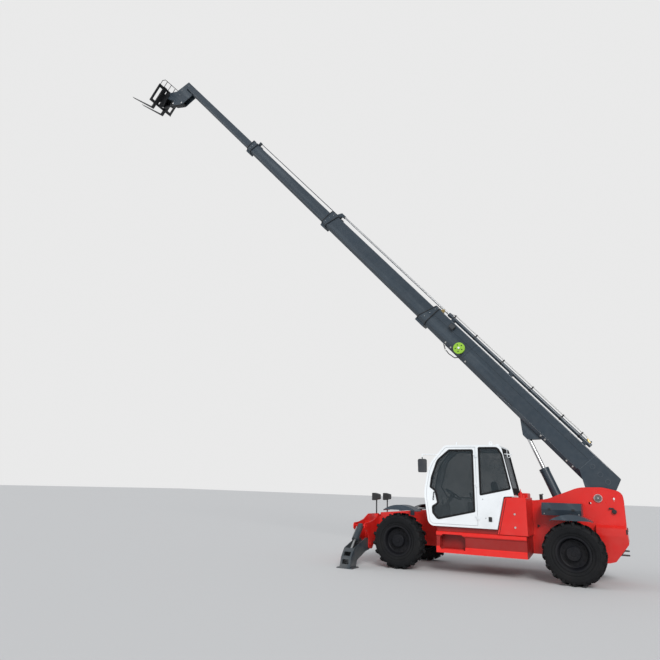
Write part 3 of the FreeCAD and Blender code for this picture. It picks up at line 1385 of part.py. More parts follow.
# Drop head on the fourth tube, and the forks' tilt linkage (all in the boom's own frame)
HEAD_WALL = 12.0
HEAD_HALF = 109.0
TILT_S = 20985.0
TILT_N = -545.0
TILT_PIN = 30.0
TILT_EYE_S = 20030.0
TILT_EYE_N = -380.0
TILT_ROD_S = 20880.0
TILT_ROD_N = -1000.0
TILT_ROD_PIN = 26.0


HEAD_START = SECTIONS[4][7]
HEAD_TIP_SOLID = 130.0
EYE_REACH = HEAD_HALF + 10.0


def head_outline():
    """Drop head seen from the side: corners (s, n, rounding)."""
    half, top, crease, bottom, foot, wall, start, end = SECTIONS[4]
    return [
        (HEAD_START, top, 0),
        (HEAD_START + 205.0, top, 20.0),
        (HEAD_START + 440.0, -190.0, 60.0),
        (TILT_S + 100.0, TILT_N + 75.0, 80.0),
        (TILT_S - 10.0, TILT_N - 135.0, 80.0),
        (HEAD_START + 400.0, -600.0, 60.0),
        (HEAD_START - 30.0, -430.0, 60.0),
        (HEAD_START - 290.0, bottom, 0),
        (HEAD_START, bottom, 0),
    ]


def tilt_eye_outline():
    """Plates below the head that hold and shield the tilt cylinder: corners (s, n, rounding)."""
    return [
        (TILT_EYE_S - 210.0, 132.0, 0),
        (TILT_EYE_S - 75.0, TILT_EYE_N - 10.0, 70.0),
        (TILT_EYE_S + 30.0, TILT_EYE_N - 95.0, 70.0),
        (TILT_EYE_S + 330.0, TILT_EYE_N - 300.0, 60.0),
        (TILT_EYE_S + 520.0, TILT_EYE_N - 150.0, 0),
        (TILT_EYE_S + 60.0, 132.0, 0),
    ]


def boom_section_4():
    """Inner tube with rear pads, the hollow drop head and the plates of the tilt cylinder."""
    half, top, crease, bottom, foot, wall, start, end = SECTIONS[4]
    inner = HEAD_HALF - HEAD_WALL
    head = plate_y(head_outline(), -HEAD_HALF, HEAD_HALF)
    hollow = plate_y(drawn_in(head_outline(), HEAD_WALL), -inner, inner)
    mouth = box(HEAD_START - 180.0, HEAD_START + 60.0, -inner, inner, bottom + HEAD_WALL, top - HEAD_WALL)
    tip = rod(at(TILT_S, -inner, TILT_N), at(TILT_S, inner, TILT_N), HEAD_TIP_SOLID)
    head = head.cut(hollow.fuse(mouth).cut(tip))
    plates = [plate_y(tilt_eye_outline(), y, y + 20.0) for y in (-HEAD_HALF, HEAD_HALF - 20.0)]
    whole = fuse([section_tube(4), rear_pads(4), head] + plates)
    bore = rod(at(TILT_S, -EYE_REACH, TILT_N), at(TILT_S, EYE_REACH, TILT_N), TILT_PIN + PIN_GAP)
    pin = rod(at(TILT_EYE_S, -EYE_REACH, TILT_EYE_N), at(TILT_EYE_S, EYE_REACH, TILT_EYE_N), TILT_PIN)
    return on_boom(fuse([whole.cut(bore), pin]))


def tilt_line():
    """Start, unit direction and length of the tilt cylinder in the boom's own frame."""
    start = at(TILT_EYE_S, 0, TILT_EYE_N)
    run = at(TILT_ROD_S, 0, TILT_ROD_N) - start
    length = run.Length
    return start, run.normalize(), length


TILT_BODY = 640.0
TILT_BARREL = 75.0
TILT_ROD = 38.0
TILT_OVERLAP = 185.0


def tilt_barrel():
    """Body of the tilt cylinder under the drop head."""
    start, line, length = tilt_line()
    body = rod(start, start + line * TILT_BODY, TILT_BARREL)
    gland = rod(start + line * (TILT_BODY - 60.0), start + line * TILT_BODY, TILT_BARREL + 8.0)
    eye = rod(start - Y_AXIS * 80.0, start + Y_AXIS * 80.0, 68.0)
    whole = fuse([body, gland, eye])
    bore = rod(start + line * 90.0, start + line * (TILT_BODY + 1.0), TILT_ROD + PIN_GAP)
    pin = rod(start - Y_AXIS * 90.0, start + Y_AXIS * 90.0, TILT_PIN + PIN_GAP)
    return on_boom(whole.cut(bore).cut(pin))


def tilt_rod():
    """Rod of the tilt cylinder."""
    start, line, length = tilt_line()
    end = start + line * length
    body = rod(start + line * (TILT_BODY - TILT_OVERLAP), end, TILT_ROD)
    eye = rod(end - Y_AXIS * 50.0, end + Y_AXIS * 50.0, 52.0)
    return on_boom(fuse([body, eye]).cut(rod(end - Y_AXIS * 60.0, end + Y_AXIS * 60.0, TILT_ROD_PIN)))


# Fork carriage: drawn upright round the tilt pin, then leaned to its place
CARRIAGE_LEAN = -11.0
CARRIAGE_X = 215.0
CARRIAGE_HALF = 580.0
CARRIAGE_TOP = 170.0
CARRIAGE_BOTTOM = -600.0
CARRIAGE_PLATE = 45.0
CHEEK_PLATE = 24.0
FORK_OFFSET = 260.0
FORK_LENGTH = 1500.0
FORK_WIDTH = 120.0
FORK_THICK = 50.0
FORK_DROP = 190.0
FORK_TIP_THICK = 14.0
GUARD_RISE = 260.0
GUARD_BAR = 12.0
GUARD_BEND = 90.0
GUARD_RUNGS = (FORK_OFFSET + FORK_WIDTH / 2 + GUARD_BAR + RUN_GAP, 115.0)


def on_carriage(shape):
    """Places a shape, drawn round the tilt pin with x ahead and z up, on the boom's head."""
    turned = shape.copy()
    turned.rotate(ORIGIN, Y_AXIS, -CARRIAGE_LEAN)
    turned.translate(at(TILT_S, 0, TILT_N))
    return on_boom(turned)


# Cut-outs of the carriage plate: y from and to, z from and to, corner rounding
CARRIAGE_WINDOWS = [
    (345.0, 500.0, -490.0, 60.0, 30.0),
    (-500.0, -345.0, -490.0, 60.0, 30.0),
    (-170.0, 170.0, -30.0, 85.0, 25.0),
    (-170.0, 170.0, -510.0, -400.0, 25.0),
]


def guard_rail():
    """Load guard over the carriage: one bent bar with rungs between it and the frame."""
    x = CARRIAGE_X + CARRIAGE_PLATE / 2
    half = CARRIAGE_HALF - 40.0
    low, high = CARRIAGE_TOP - 5.0, CARRIAGE_TOP + GUARD_RISE
    bends = [
        (-half, high - GUARD_BEND),
        (-half + GUARD_BEND, high),
        (half - GUARD_BEND, high),
        (half, high - GUARD_BEND),
    ]
    stops = [(-half, low)] + bends + [(half, low)]
    bars = [rod(at(x, y0, z0), at(x, y1, z1), GUARD_BAR) for (y0, z0), (y1, z1) in zip(stops, stops[1:])]
    bars += [Part.makeSphere(GUARD_BAR, at(x, y, z)) for y, z in bends]
    for y in GUARD_RUNGS:
        bars += [rod(at(x, side * y, low), at(x, side * y, high), GUARD_BAR) for side in (1, -1)]
    return bars


def carriage():
    """Plate frame with cut-outs, coupler cheeks round the boom's head, and a guard above."""
    x_low, x_high = CARRIAGE_X, CARRIAGE_X + CARRIAGE_PLATE
    frame = box(x_low, x_high, -CARRIAGE_HALF, CARRIAGE_HALF, CARRIAGE_BOTTOM, CARRIAGE_TOP)
    for y_low, y_high, z_low, z_high, radius in CARRIAGE_WINDOWS:
        corners = [
            (y_low, z_low, radius),
            (y_high, z_low, radius),
            (y_high, z_high, radius),
            (y_low, z_high, radius),
        ]
        frame = frame.cut(plate_x(corners, x_low - 1.0, x_high + 1.0))
    lip = 30.0
    ledges = [
        box(x_low - lip, x_low, -CARRIAGE_HALF, CARRIAGE_HALF, z, z + 20.0)
        for z in (CARRIAGE_TOP - 20.0, CARRIAGE_BOTTOM)
    ]
    cheek = [
        (-52.0, 50.0, 50.0),
        (60.0, 60.0, 20.0),
        (x_low + 5.0, CARRIAGE_TOP - 30.0, 0),
        (x_low + 5.0, CARRIAGE_BOTTOM, 0),
        (60.0, CARRIAGE_BOTTOM, 40.0),
        (-85.0, -530.0, 60.0),
        (-90.0, -400.0, 60.0),
        (-30.0, -220.0, 80.0),
        (-55.0, -60.0, 50.0),
    ]
    inner = HEAD_HALF + RUN_GAP
    solids = [frame] + ledges + guard_rail()
    for y in (-inner - CHEEK_PLATE, inner):
        solids.append(plate_y(cheek, y, y + CHEEK_PLATE))
    tie = box(120.0, x_low + 5.0, -inner, inner, CARRIAGE_BOTTOM + 10.0, CARRIAGE_BOTTOM + 60.0)
    boss_start, boss_end = inner + CHEEK_PLATE / 2, inner + CHEEK_PLATE + 16.0
    for x, z, radius in ((0.0, 0.0, 48.0), rod_pin_place() + (42.0,)):
        for side in (1, -1):
            solids.append(rod(at(x, side * boss_start, z), at(x, side * boss_end, z), radius))
    pin = rod(at(0, -inner - CHEEK_PLATE, 0), at(0, inner + CHEEK_PLATE, 0), TILT_PIN)
    return on_carriage(fuse(solids + [tie, pin]))


def rod_pin_place():
    """Place (x, z) of the tilt rod's pin in the upright carriage's frame."""
    lean = math.radians(CARRIAGE_LEAN)
    along, up = TILT_ROD_S - TILT_S, TILT_ROD_N - TILT_N
    return along * math.cos(lean) + up * math.sin(lean), up * math.cos(lean) - along * math.sin(lean)


def forks():
    """Two forks hooked over the carriage, with shanks below it and tapered tines."""
    x_low = CARRIAGE_X + CARRIAGE_PLATE
    heel = CARRIAGE_BOTTOM - FORK_DROP
    tip_x = x_low + FORK_THICK + FORK_LENGTH
    shape = [
        (x_low - CARRIAGE_PLATE - 20.0, CARRIAGE_TOP, 0),
        (x_low - CARRIAGE_PLATE - 20.0, CARRIAGE_TOP + 22.0, 8.0),
        (x_low + FORK_THICK, CARRIAGE_TOP + 22.0, 8.0),
        (x_low + FORK_THICK, heel + FORK_THICK, 25.0),
        (tip_x, heel + FORK_TIP_THICK, 4.0),
        (tip_x, heel, 4.0),
        (x_low, heel, 45.0),
        (x_low, CARRIAGE_TOP, 0),
    ]
    tines = [plate_y(shape, y - FORK_WIDTH / 2, y + FORK_WIDTH / 2) for y in (-FORK_OFFSET, FORK_OFFSET)]
    return on_carriage(Part.makeCompound(tines))


# Lift cylinder, on the machine
LIFT_BARREL = 104.0
LIFT_ROD = 45.0
LIFT_BORE = LIFT_ROD + PIN_GAP
LIFT_BODY = 1150.0
LIFT_EYE = 48.0


def lift_line():
    """Start, unit direction and length of the lift cylinder, from frame to boom ear."""
    start = at(LIFT_PIN_X, 0, LIFT_PIN_Z)
    angle = math.radians(BOOM_ANGLE)
    ear = at(
        BOOM_PIVOT_X + EAR_S * math.cos(angle) - EAR_N * math.sin(angle),
        0,
        BOOM_PIVOT_Z + EAR_S * math.sin(angle) + EAR_N * math.cos(angle),
    )
    run = ear - start
    length = run.Length
    return start, run.normalize(), length


def lift_barrel():
    """Body of the lift cylinder, with its trunnion between the side plates."""
    start, line, length = lift_line()
    body = rod(start, start + line * LIFT_BODY, LIFT_BARREL)
    gland = rod(start + line * (LIFT_BODY - 70.0), start + line * LIFT_BODY, LIFT_BARREL + 6.0)
    reach = FRAME_INNER - RUN_GAP
    trunnion = rod(start - Y_AXIS * reach, start + Y_AXIS * reach, 75.0)
    whole = fuse([body, gland, trunnion])
    bore = rod(start + line * 120.0, start + line * (LIFT_BODY + 1.0), LIFT_BORE)
    pin = rod(start - Y_AXIS * FRAME_OUTER, start + Y_AXIS * FRAME_OUTER, LIFT_PIN_RADIUS + PIN_GAP)
    return whole.cut(bore).cut(pin)


def lift_rod():
    """Chromed rod of the lift cylinder, its eye between the boom's ears."""
    start, line, length = lift_line()
    end = start + line * length
    body = rod(start + line * (LIFT_BODY - 350.0), end, LIFT_ROD)
    eye = rod(end - Y_AXIS * 60.0, end + Y_AXIS * 60.0, LIFT_EYE)
    return fuse([body, eye]).cut(rod(end - Y_AXIS * 70.0, end + Y_AXIS * 70.0, EAR_PIN))


REEL_S = 4515.0
REEL_N = 240.0
REEL_RADIUS = 145.0


def hose_reel():
    """Round hose reel on the left side of the base tube, on a spindle: a drum between two cheeks."""
    side = SECTIONS[1][0]
    profile = [
        (0, 0, 0),
        (30.0, 0, 0),
        (30.0, 12.0, 0),
        (REEL_RADIUS, 12.0, 0),
        (REEL_RADIUS, 20.0, 2.0),
        (REEL_RADIUS - 22.0, 26.0, 0),
        (REEL_RADIUS - 22.0, 46.0, 0),
        (REEL_RADIUS, 52.0, 2.0),
        (REEL_RADIUS, 60.0, 0),
        (42.0, 66.0, 4.0),
        (36.0, 76.0, 4.0),
        (0, 76.0, 0),
    ]
    return on_boom(spun(profile, at(REEL_S, side, REEL_N), Y_AXIS, X_AXIS))


def main():
    """Writes every sub-part."""
    os.makedirs("parts", exist_ok=True)
    save("chassis_frame", chassis_frame())
    save("pivot_pins", pivot_pins())
    save("ballast", ballast())
    save("tow_hitch", tow_hitch())
    save("axles", Part.makeCompound([axle(AXLE_X, -1), axle(-AXLE_X, 1)]))
    save("drive_line", drive_line())
    places = [(AXLE_X - FENDER_SHIFT, FENDER_TOP_FRONT), (-AXLE_X, FENDER_TOP_REAR)]
    arches = [both_sides(fender(x, top)) for x, top in places]
    save("fenders", Part.makeCompound(arches))
    save("step_panel", step_panel())
    save("tank_cover", tank_cover())
    save("deck_fittings", deck_fittings())
    save("tool_box", tool_box())
    save("engine_bay", engine_bay())
    save("engine_block", engine_block())
    save("engine_hood", engine_hood())
    save("exhaust", exhaust())
    save("cab_shell", fuse([cab_shell()] + door_hinges()))
    save("cab_glass", cab_glass())
    save("cab_door", hinged_door())
    save("door_glass", door_glass())
    save("driver_seat", driver_seat())
    save("steering_column", steering_column())
    save("mirror_arm", mirror_arm())
    save("roof_fittings", roof_fittings())
    save("stabiliser_bracket", stabiliser_bracket())
    save("headlamps", headlamps())
    for side, name in ((1, "left"), (-1, "right")):
        place = (lambda shape: shape) if side > 0 else mirrored
        save("stabiliser_leg_" + name, place(stabiliser_leg()))
        save("ram_barrel_" + name, place(ram_barrel()))
        save("ram_rod_" + name, place(ram_rod()))
    save("boom_section_1", boom_section_1())
    save("extension_barrel", extension_barrel())
    save("hose_reel", hose_reel())
    save("boom_section_2", boom_section_2())
    save("extension_rod", extension_rod())
    save("boom_section_3", boom_section_3())
    save("boom_section_4", boom_section_4())
    save("tilt_barrel", tilt_barrel())
    save("tilt_rod", tilt_rod())
    save("carriage", carriage())
    save("forks", forks())
    save("lift_barrel", lift_barrel())
    save("lift_rod", lift_rod())
    tyre_shape = tyre()
    rim_shape = rim()
    for x, end_name in ((AXLE_X, "front"), (-AXLE_X, "rear")):
        for side, side_name in ((1, "left"), (-1, "right")):
            name = end_name + "_" + side_name
            save("knuckle_" + name, knuckle(x, side))
            for piece, shape in (("tyre_", tyre_shape), ("rim_", rim_shape)):
                placed = shape.copy() if side > 0 else mirrored(shape)
                placed.translate(at(x, side * WHEEL_OFFSET, AXLE_Z))
                save(piece + name, placed)


main()
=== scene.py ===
# %% [markdown]
# A telehandler in Blender
# The machine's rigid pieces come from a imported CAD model, already in place and in metres. This lesson
# dresses them: it gives every surface a finish worked out by nodes, and adds the small fittings that
# a maker bolts on last, such as seals, lenses, bolts, pipes and handles.
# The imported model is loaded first, so that every later step can ask it where things are.

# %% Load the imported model
import json
import math

import bmesh
import bpy
import numpy as np
from mathutils import Matrix, Vector


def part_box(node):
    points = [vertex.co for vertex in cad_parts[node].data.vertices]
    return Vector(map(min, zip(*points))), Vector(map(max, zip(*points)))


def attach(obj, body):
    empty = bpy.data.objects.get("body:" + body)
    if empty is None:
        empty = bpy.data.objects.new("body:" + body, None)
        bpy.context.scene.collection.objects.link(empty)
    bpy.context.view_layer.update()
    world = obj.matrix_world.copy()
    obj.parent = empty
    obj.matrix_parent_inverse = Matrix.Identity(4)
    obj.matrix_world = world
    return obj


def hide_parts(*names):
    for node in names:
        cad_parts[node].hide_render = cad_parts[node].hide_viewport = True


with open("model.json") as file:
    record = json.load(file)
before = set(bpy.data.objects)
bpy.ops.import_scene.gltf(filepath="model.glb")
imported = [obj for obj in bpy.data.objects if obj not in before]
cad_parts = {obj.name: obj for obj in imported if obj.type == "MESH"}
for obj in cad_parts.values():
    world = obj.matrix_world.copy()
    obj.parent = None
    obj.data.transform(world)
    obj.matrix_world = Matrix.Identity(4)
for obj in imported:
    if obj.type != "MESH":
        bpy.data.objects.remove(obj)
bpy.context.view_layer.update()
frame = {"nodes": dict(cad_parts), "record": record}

NODES = frame["nodes"]
JOINTS = {joint["name"]: joint for joint in frame["record"]["behaviour"]["joints"]}
BOTH_SIDES = (1, -1)


def hinge_place(name):
    """The point that a hinge turns about, in metres."""
    return np.array(JOINTS[name]["pos_m"], float)


def reach_in_y(node):
    """The lowest and highest Y of a CAD piece, to the nearest micrometre."""
    return tuple(round(float(corner[1]), 6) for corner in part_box(node))


# %% [markdown]
# The machine has two frames of its own. X runs forwards, Y to the left and Z up, from the ground
# midway between the axles. The boom is easier to think about along its own length, so a second pair
# of coordinates, s along the boom and n up from it, is turned into the machine's frame here.
# A turned frame keeps every fitting on the boom a plain number, such as 5.8 m along and 0.6 m up.

# %% The boom's own frame
BOOM_PIVOT = hinge_place("boom_lift")
BOOM_SLIDE = JOINTS["boom_extend_2"]["axis"]
BOOM_ANGLE = math.atan2(BOOM_SLIDE[2], BOOM_SLIDE[0])
ALONG = np.array([math.cos(BOOM_ANGLE), 0.0, math.sin(BOOM_ANGLE)])
UPWARD = np.array([-math.sin(BOOM_ANGLE), 0.0, math.cos(BOOM_ANGLE)])
LEFT = np.array([0.0, 1.0, 0.0])


def on_boom(points):
    """Points (s, y, n) of the boom's frame in the machine's: pivot + s along + y to the left + n up."""
    points = np.atleast_2d(np.asarray(points, float))
    return BOOM_PIVOT + points[:, :1] * ALONG + points[:, 1:2] * LEFT + points[:, 2:] * UPWARD


def boom_point(s, y, n):
    """One point of the boom's frame in the machine's."""
    return on_boom((s, y, n))[0]


print("the boom points", round(math.degrees(BOOM_ANGLE), 2), "degrees up from", BOOM_PIVOT)

# %% [markdown]
# The camera stands where the photographer stood: low, on the machine's left, ahead of the cab and
# turned a little to the boom's far tip. Its lens is given as a focal length on a 36 mm sensor.
# A yaw from the X axis and a pitch up from the ground point it, and a small roll tips the horizon.

# %% Camera
CAMERA_PLACE = (-3.003, 13.607, 1.705)
CAMERA_YAW = math.radians(-61.595)
CAMERA_PITCH = math.radians(15.946)
CAMERA_ROLL = math.radians(1.82)
CAMERA_LENS = 30.03
SENSOR = 36.0
FURTHEST_SEEN = 500.0


def make_camera():
    """The photograph's camera: rolled about its own view, tilted up to the pitch, and turned to the yaw."""
    data = bpy.data.cameras.new("camera")
    data.lens = CAMERA_LENS
    data.sensor_width = SENSOR
    data.clip_end = FURTHEST_SEEN
    camera = bpy.data.objects.new("camera", data)
    bpy.context.scene.collection.objects.link(camera)
    yaw = Matrix.Rotation(CAMERA_YAW - math.pi / 2, 4, "Z")
    pitch = Matrix.Rotation(CAMERA_PITCH + math.pi / 2, 4, "X")
    roll = Matrix.Rotation(CAMERA_ROLL, 4, "Z")
    camera.matrix_world = Matrix.Translation(CAMERA_PLACE) @ yaw @ pitch @ roll
    bpy.context.scene.camera = camera


make_camera()
print("camera at", CAMERA_PLACE)

# %% [markdown]
# A finish here is a small recipe of nodes on a Principled shader. The recipes use the same few nodes:
# a noise, a range, a product, a blend of two colours and a bump. They are wrapped once in a class, so
# that each recipe reads as a sentence. All of them read Object coordinates, which every piece shares,
# so a pattern runs on from one piece to the next.

# %% The nodes that recipes are made of
DUST = (0.30, 0.27, 0.23)
LEAST_DUST = 0.02
MIDDLE = (0.3, 0.7)


class Recipe:
    """The node tree of a material or a world, and short names for the nodes that go into it."""

    def __init__(self, owner):
        owner.use_nodes = True
        self.owner = owner
        self.nodes = owner.node_tree.nodes
        self.links = owner.node_tree.links

    def feed(self, socket, value):
        """Links a node's output to a socket, or gives the socket a plain value."""
        if isinstance(value, bpy.types.NodeSocket):
            self.links.new(value, socket)
        elif socket.type == "RGBA":
            socket.default_value = (*value, 1.0)
        else:
            socket.default_value = value

    def node(self, kind, inputs, **settings):
        """The outputs of a new node that has these settings and inputs."""
        made = self.nodes.new("ShaderNode" + kind)
        for setting, value in settings.items():
            setattr(made, setting, value)
        for socket, value in inputs.items():
            self.feed(made.inputs[socket], value)
        return made.outputs

    def noise(self, scale, detail=4.0, stretch=(1.0, 1.0, 1.0), turn=0.0):
        """A noise of that scale, its coordinates turned about Y and stretched along each axis."""
        place = self.node("TexCoord", {})["Object"]
        turned_place = self.node("VectorRotate", {"Vector": place, "Angle": turn}, rotation_type="Y_AXIS")
        place = self.node("Mapping", {"Vector": turned_place["Vector"], "Scale": stretch})["Vector"]
        return self.node("TexNoise", {"Vector": place, "Scale": scale, "Detail": detail})["Fac"]

    def coordinate(self, axis):
        """Each point's own X, Y or Z."""
        place = self.node("TexCoord", {})["Object"]
        return self.node("SeparateXYZ", {"Vector": place})[axis]

    def between(self, value, low, high, out_low=0.0, out_high=1.0):
        """value taken from the range low..high to out_low..out_high, and held there."""
        ends = {"From Min": low, "From Max": high, "To Min": out_low, "To Max": out_high}
        return self.node("MapRange", {"Value": value, **ends})["Result"]

    def product(self, first, second):
        """The product of two values."""
        return self.node("Math", {0: first, 1: second}, operation="MULTIPLY")["Value"]

    def blend(self, factor, first, second):
        """A colour between first and second."""
        return self.node("Mix", {0: factor, 6: first, 7: second}, data_type="RGBA")[2]

    def mottled(self, factor, colour, change):
        """A colour that drifts towards itself times a number."""
        return self.blend(factor, colour, tuple(part * change for part in colour))

    def gloss(self, value, roughness, least, most):
        """A roughness from least to most times a plain one, over the middle values of a noise."""
        return self.between(value, *MIDDLE, roughness * least, roughness * most)

    def bump(self, height, strength, distance):
        """The surface's normal, tilted by a height value."""
        return self.node("Bump", {"Height": height, "Strength": strength, "Distance": distance})["Normal"]

    def dusted(self, colour, low, high, amount, dust=DUST):
        """The colour under dust that thins out between two heights above the ground, in patches."""
        fade = self.between(self.coordinate("Z"), low, high, amount, LEAST_DUST)
        patches = self.between(self.noise(3.1, detail=8.0), 0.35, 0.7)
        return self.blend(self.product(fade, patches), colour, dust)

    def finish(self, inputs):
        """The material, with its shader's sockets fed."""
        for socket, value in inputs.items():
            self.feed(self.nodes["Principled BSDF"].inputs[socket], value)
        return self.owner


def new_recipe(name):
    """A recipe for a new material."""
    return Recipe(bpy.data.materials.new(name))


print("recipe nodes ready")

# %% [markdown]
# Paint on a working machine is never one flat colour: the coat ripples slightly, dust settles low
# down, and the gloss breaks up. The long boom also has pale blue-grey streaks that run along its
# length. The alternative, a painted image, would need unwrapped surfaces and would blur in close views.

# %% Paints
STREAK_TONE = (0.120, 0.145, 0.165)
DUST_FOOT, PAINT_DUST_TOP = 0.1, 1.6
PARTING_WIDTH = 0.001


def ripple(recipe):
    """The faint ripple of a sprayed coat."""
    return recipe.bump(recipe.noise(140.0, detail=2.0), 0.06, 0.002)


def paint(name, colour, roughness, dust, coat=0.3, streaks=0.0, shine=0.5):
    """Sprayed paint: colour and gloss that drift, dust low down, and pale streaks along the boom if asked.
    """
    recipe = new_recipe(name)
    drift = recipe.between(recipe.noise(1.3, detail=3.0), *MIDDLE)
    tone = recipe.dusted(recipe.mottled(drift, colour, 0.86), DUST_FOOT, PAINT_DUST_TOP, dust)
    if streaks:
        streak_pattern = recipe.noise(2.2, detail=6.0, stretch=(0.10, 1.0, 2.2), turn=BOOM_ANGLE)
        tone = recipe.blend(recipe.between(streak_pattern, 0.52, 0.72, 0.0, streaks), tone, STREAK_TONE)
    return recipe.finish({
        "Base Color": tone,
        "Roughness": recipe.gloss(recipe.noise(9.0, detail=6.0), roughness, 0.8, 1.3),
        "Specular IOR Level": shine,
        "Coat Weight": coat,
        "Coat Roughness": 0.12,
        "Normal": ripple(recipe),
    })


def two_tone(name, below, above, axis, limit, dirt=0.18):
    """Two colours on one piece, parted where a coordinate passes a limit: two paints, or a paint and a
    painted shade.
    """
    recipe = new_recipe(name)
    side = recipe.between(recipe.coordinate(axis), limit, limit + PARTING_WIDTH)
    grime = recipe.between(recipe.noise(2.4, detail=6.0), 0.4, 0.8, 0.0, dirt)
    return recipe.finish({
        "Base Color": recipe.blend(grime, recipe.blend(side, below, above), DUST),
        "Roughness": recipe.between(recipe.noise(11.0, detail=5.0), *MIDDLE, 0.30, 0.46),
        "Normal": ripple(recipe),
    })


RED_COLOUR = (0.66, 0.011, 0.007)
SHADED_RED = (0.26, 0.006, 0.004)
WHITE_COLOUR = (0.76, 0.79, 0.81)
MIRROR_GREY = (0.030, 0.034, 0.040)
ROOF_BLACK = (0.020, 0.022, 0.025)
MIRROR_ARM_FOOT, STEP_FACE, LIGHTS_FRONT = 2.44, 1.088, 0.70

RED = paint("red_paint", RED_COLOUR, 0.34, dust=0.10, coat=0.2)
WHITE = paint("white_paint", WHITE_COLOUR, 0.30, dust=0.12)
SLATE = paint("slate_paint", (0.026, 0.040, 0.055), 0.34, dust=0.08, coat=0.2, streaks=0.30)
# A paler slate that paints highlights: lit edges, rims and plates near the boom's root.
SLATE_PAINTED_HIGHLIGHT = paint("slate_painted_highlight", (0.050, 0.066, 0.083), 0.34, dust=0.06)
LEG_SLATE = paint("leg_paint", (0.029, 0.040, 0.050), 0.40, dust=0.22)
BLACK_PAINT = paint("black_paint", (0.009, 0.010, 0.012), 0.42, dust=0.20, coat=0.1)
RIM_BLACK = paint("rim_paint", (0.006, 0.0065, 0.009), 0.44, dust=0.02, coat=0.0, shine=0.2)
REEL_GREEN = paint("reel_green", (0.26, 0.50, 0.03), 0.40, dust=0.08)
MIRROR_PAINT = two_tone("mirror_paint", MIRROR_GREY, WHITE_COLOUR, "Z", MIRROR_ARM_FOOT)
# The step's pocket, behind its face, takes SHADED_RED: a painted shade of the recess, with light grime over
# both reds.
STEP_PAINT_AND_POCKET_SHADE = two_tone("step_paint_and_pocket_shade", SHADED_RED, RED_COLOUR, "Y", STEP_FACE, dirt=0.06)
ROOF_PAINT = two_tone("roof_paint", WHITE_COLOUR, ROOF_BLACK, "X", LIGHTS_FRONT)
print("paints:", len(bpy.data.materials))

# %% [markdown]
# Bare iron and steel are told apart by their grain and by how much of a metal they are: a casting is
# coarse and dull, a rod is bright with fine scuffs, and a weld bead is dark and matt. Rubber is the
# reverse of a metal, with hardly a gleam, and pale dust clings to it near the ground.

# %% Metals and rubber
IRON_DUST_TOP = 1.4
TYRE_DUST = (0.16, 0.145, 0.125)
TYRE_DUST_FOOT, TYRE_DUST_TOP = -0.2, 1.3


def rough_metal(name, colour, roughness, metallic, grain, dust=0.25, pits=0.25):
    """Cast or forged metal: coarse grain in the surface, darker in its hollows, dusty low down."""
    recipe = new_recipe(name)
    speckle = recipe.noise(grain, detail=8.0)
    tone = recipe.mottled(recipe.between(speckle, 0.35, 0.7), colour, 1.6)
    return recipe.finish({
        "Base Color": recipe.dusted(tone, DUST_FOOT, IRON_DUST_TOP, dust),
        "Roughness": recipe.gloss(speckle, roughness, 0.85, 1.2),
        "Metallic": metallic,
        "Normal": recipe.bump(speckle, pits, 0.004),
    })


def polished_rod(name):
    """Hard chrome on a cylinder rod: bright, with fine scuffs in it."""
    recipe = new_recipe(name)
    scuffs = recipe.noise(60.0, detail=6.0)
    return recipe.finish({
        "Base Color": recipe.blend(scuffs, (0.82, 0.83, 0.84), (0.62, 0.62, 0.61)),
        "Roughness": recipe.between(scuffs, *MIDDLE, 0.26, 0.38),
        "Metallic": 1.0,
        "Normal": recipe.bump(scuffs, 0.01, 0.001),
    })


def rubber(name, colour, dust):
    """Tyre or seal rubber: matt, mottled, with pale dust that clings low down."""
    recipe = new_recipe(name)
    patches = recipe.noise(14.0, detail=8.0)
    tone = recipe.mottled(recipe.between(patches, *MIDDLE), colour, 1.5)
    return recipe.finish({
        "Base Color": recipe.dusted(tone, TYRE_DUST_FOOT, TYRE_DUST_TOP, dust, TYRE_DUST),
        "Roughness": recipe.between(patches, *MIDDLE, 0.62, 0.85),
        "Specular IOR Level": 0.14,
        "Normal": recipe.bump(recipe.noise(90.0), 0.12, 0.003),
    })


IRON = rough_metal("axle_iron", (0.030, 0.030, 0.031), 0.62, 0.35, grain=30.0)
ENGINE_IRON = rough_metal("engine_iron", (0.055, 0.058, 0.06), 0.6, 0.5, grain=22.0)
STEEL = rough_metal("bare_steel", (0.40, 0.40, 0.39), 0.48, 0.70, grain=45.0, dust=0.08, pits=0.03)
PIN_STEEL = rough_metal("pin_steel", (0.12, 0.12, 0.12), 0.5, 0.7, grain=45.0, dust=0.05)
WELD = rough_metal("weld_bead", (0.014, 0.021, 0.028), 0.85, 0.0, grain=60.0, dust=0.02, pits=0.05)
BRASS = rough_metal("brass", (0.46, 0.34, 0.14), 0.32, 0.9, grain=40.0, dust=0.05)
CHROME = polished_rod("chrome")
TYRE = rubber("tyre_rubber", (0.006, 0.0065, 0.0075), 0.035)
SEAL = rubber("seal_rubber", (0.008, 0.008, 0.009), 0.1)
print("finishes so far:", len(bpy.data.materials))

# %% [markdown]
# The cab's glass is tinted and partly see-through, so that the seat and the wheel show faintly behind
# it. Lamp lenses are solid colour under a clear coat, because what lies behind a real lens is only a
# bright bowl. Plastic and cloth get their look from a fine bump: leathery grain, or a crossed weave.

# %% Glass, plastic and cloth
def tinted_glass(name, colour, clear):
    """Safety glass: lightly tinted, partly see-through, with a faint film of dust."""
    recipe = new_recipe(name)
    film = recipe.between(recipe.noise(2.5, detail=6.0), 0.35, 0.75, 1.0 - clear, 1.12 - clear)
    gloss = {"Roughness": 0.04, "Specular IOR Level": 0.8}
    return recipe.finish({"Base Color": colour, "Alpha": film, **gloss})


def lens(name, colour):
    """A moulded lamp lens: strong colour under a clear glossy coat, a little uneven inside."""
    recipe = new_recipe(name)
    depth = recipe.between(recipe.noise(40.0, detail=2.0), *MIDDLE)
    gloss = {"Roughness": 0.08, "Coat Weight": 1.0, "Coat Roughness": 0.03}
    return recipe.finish({"Base Color": recipe.mottled(depth, colour, 0.7), **gloss})


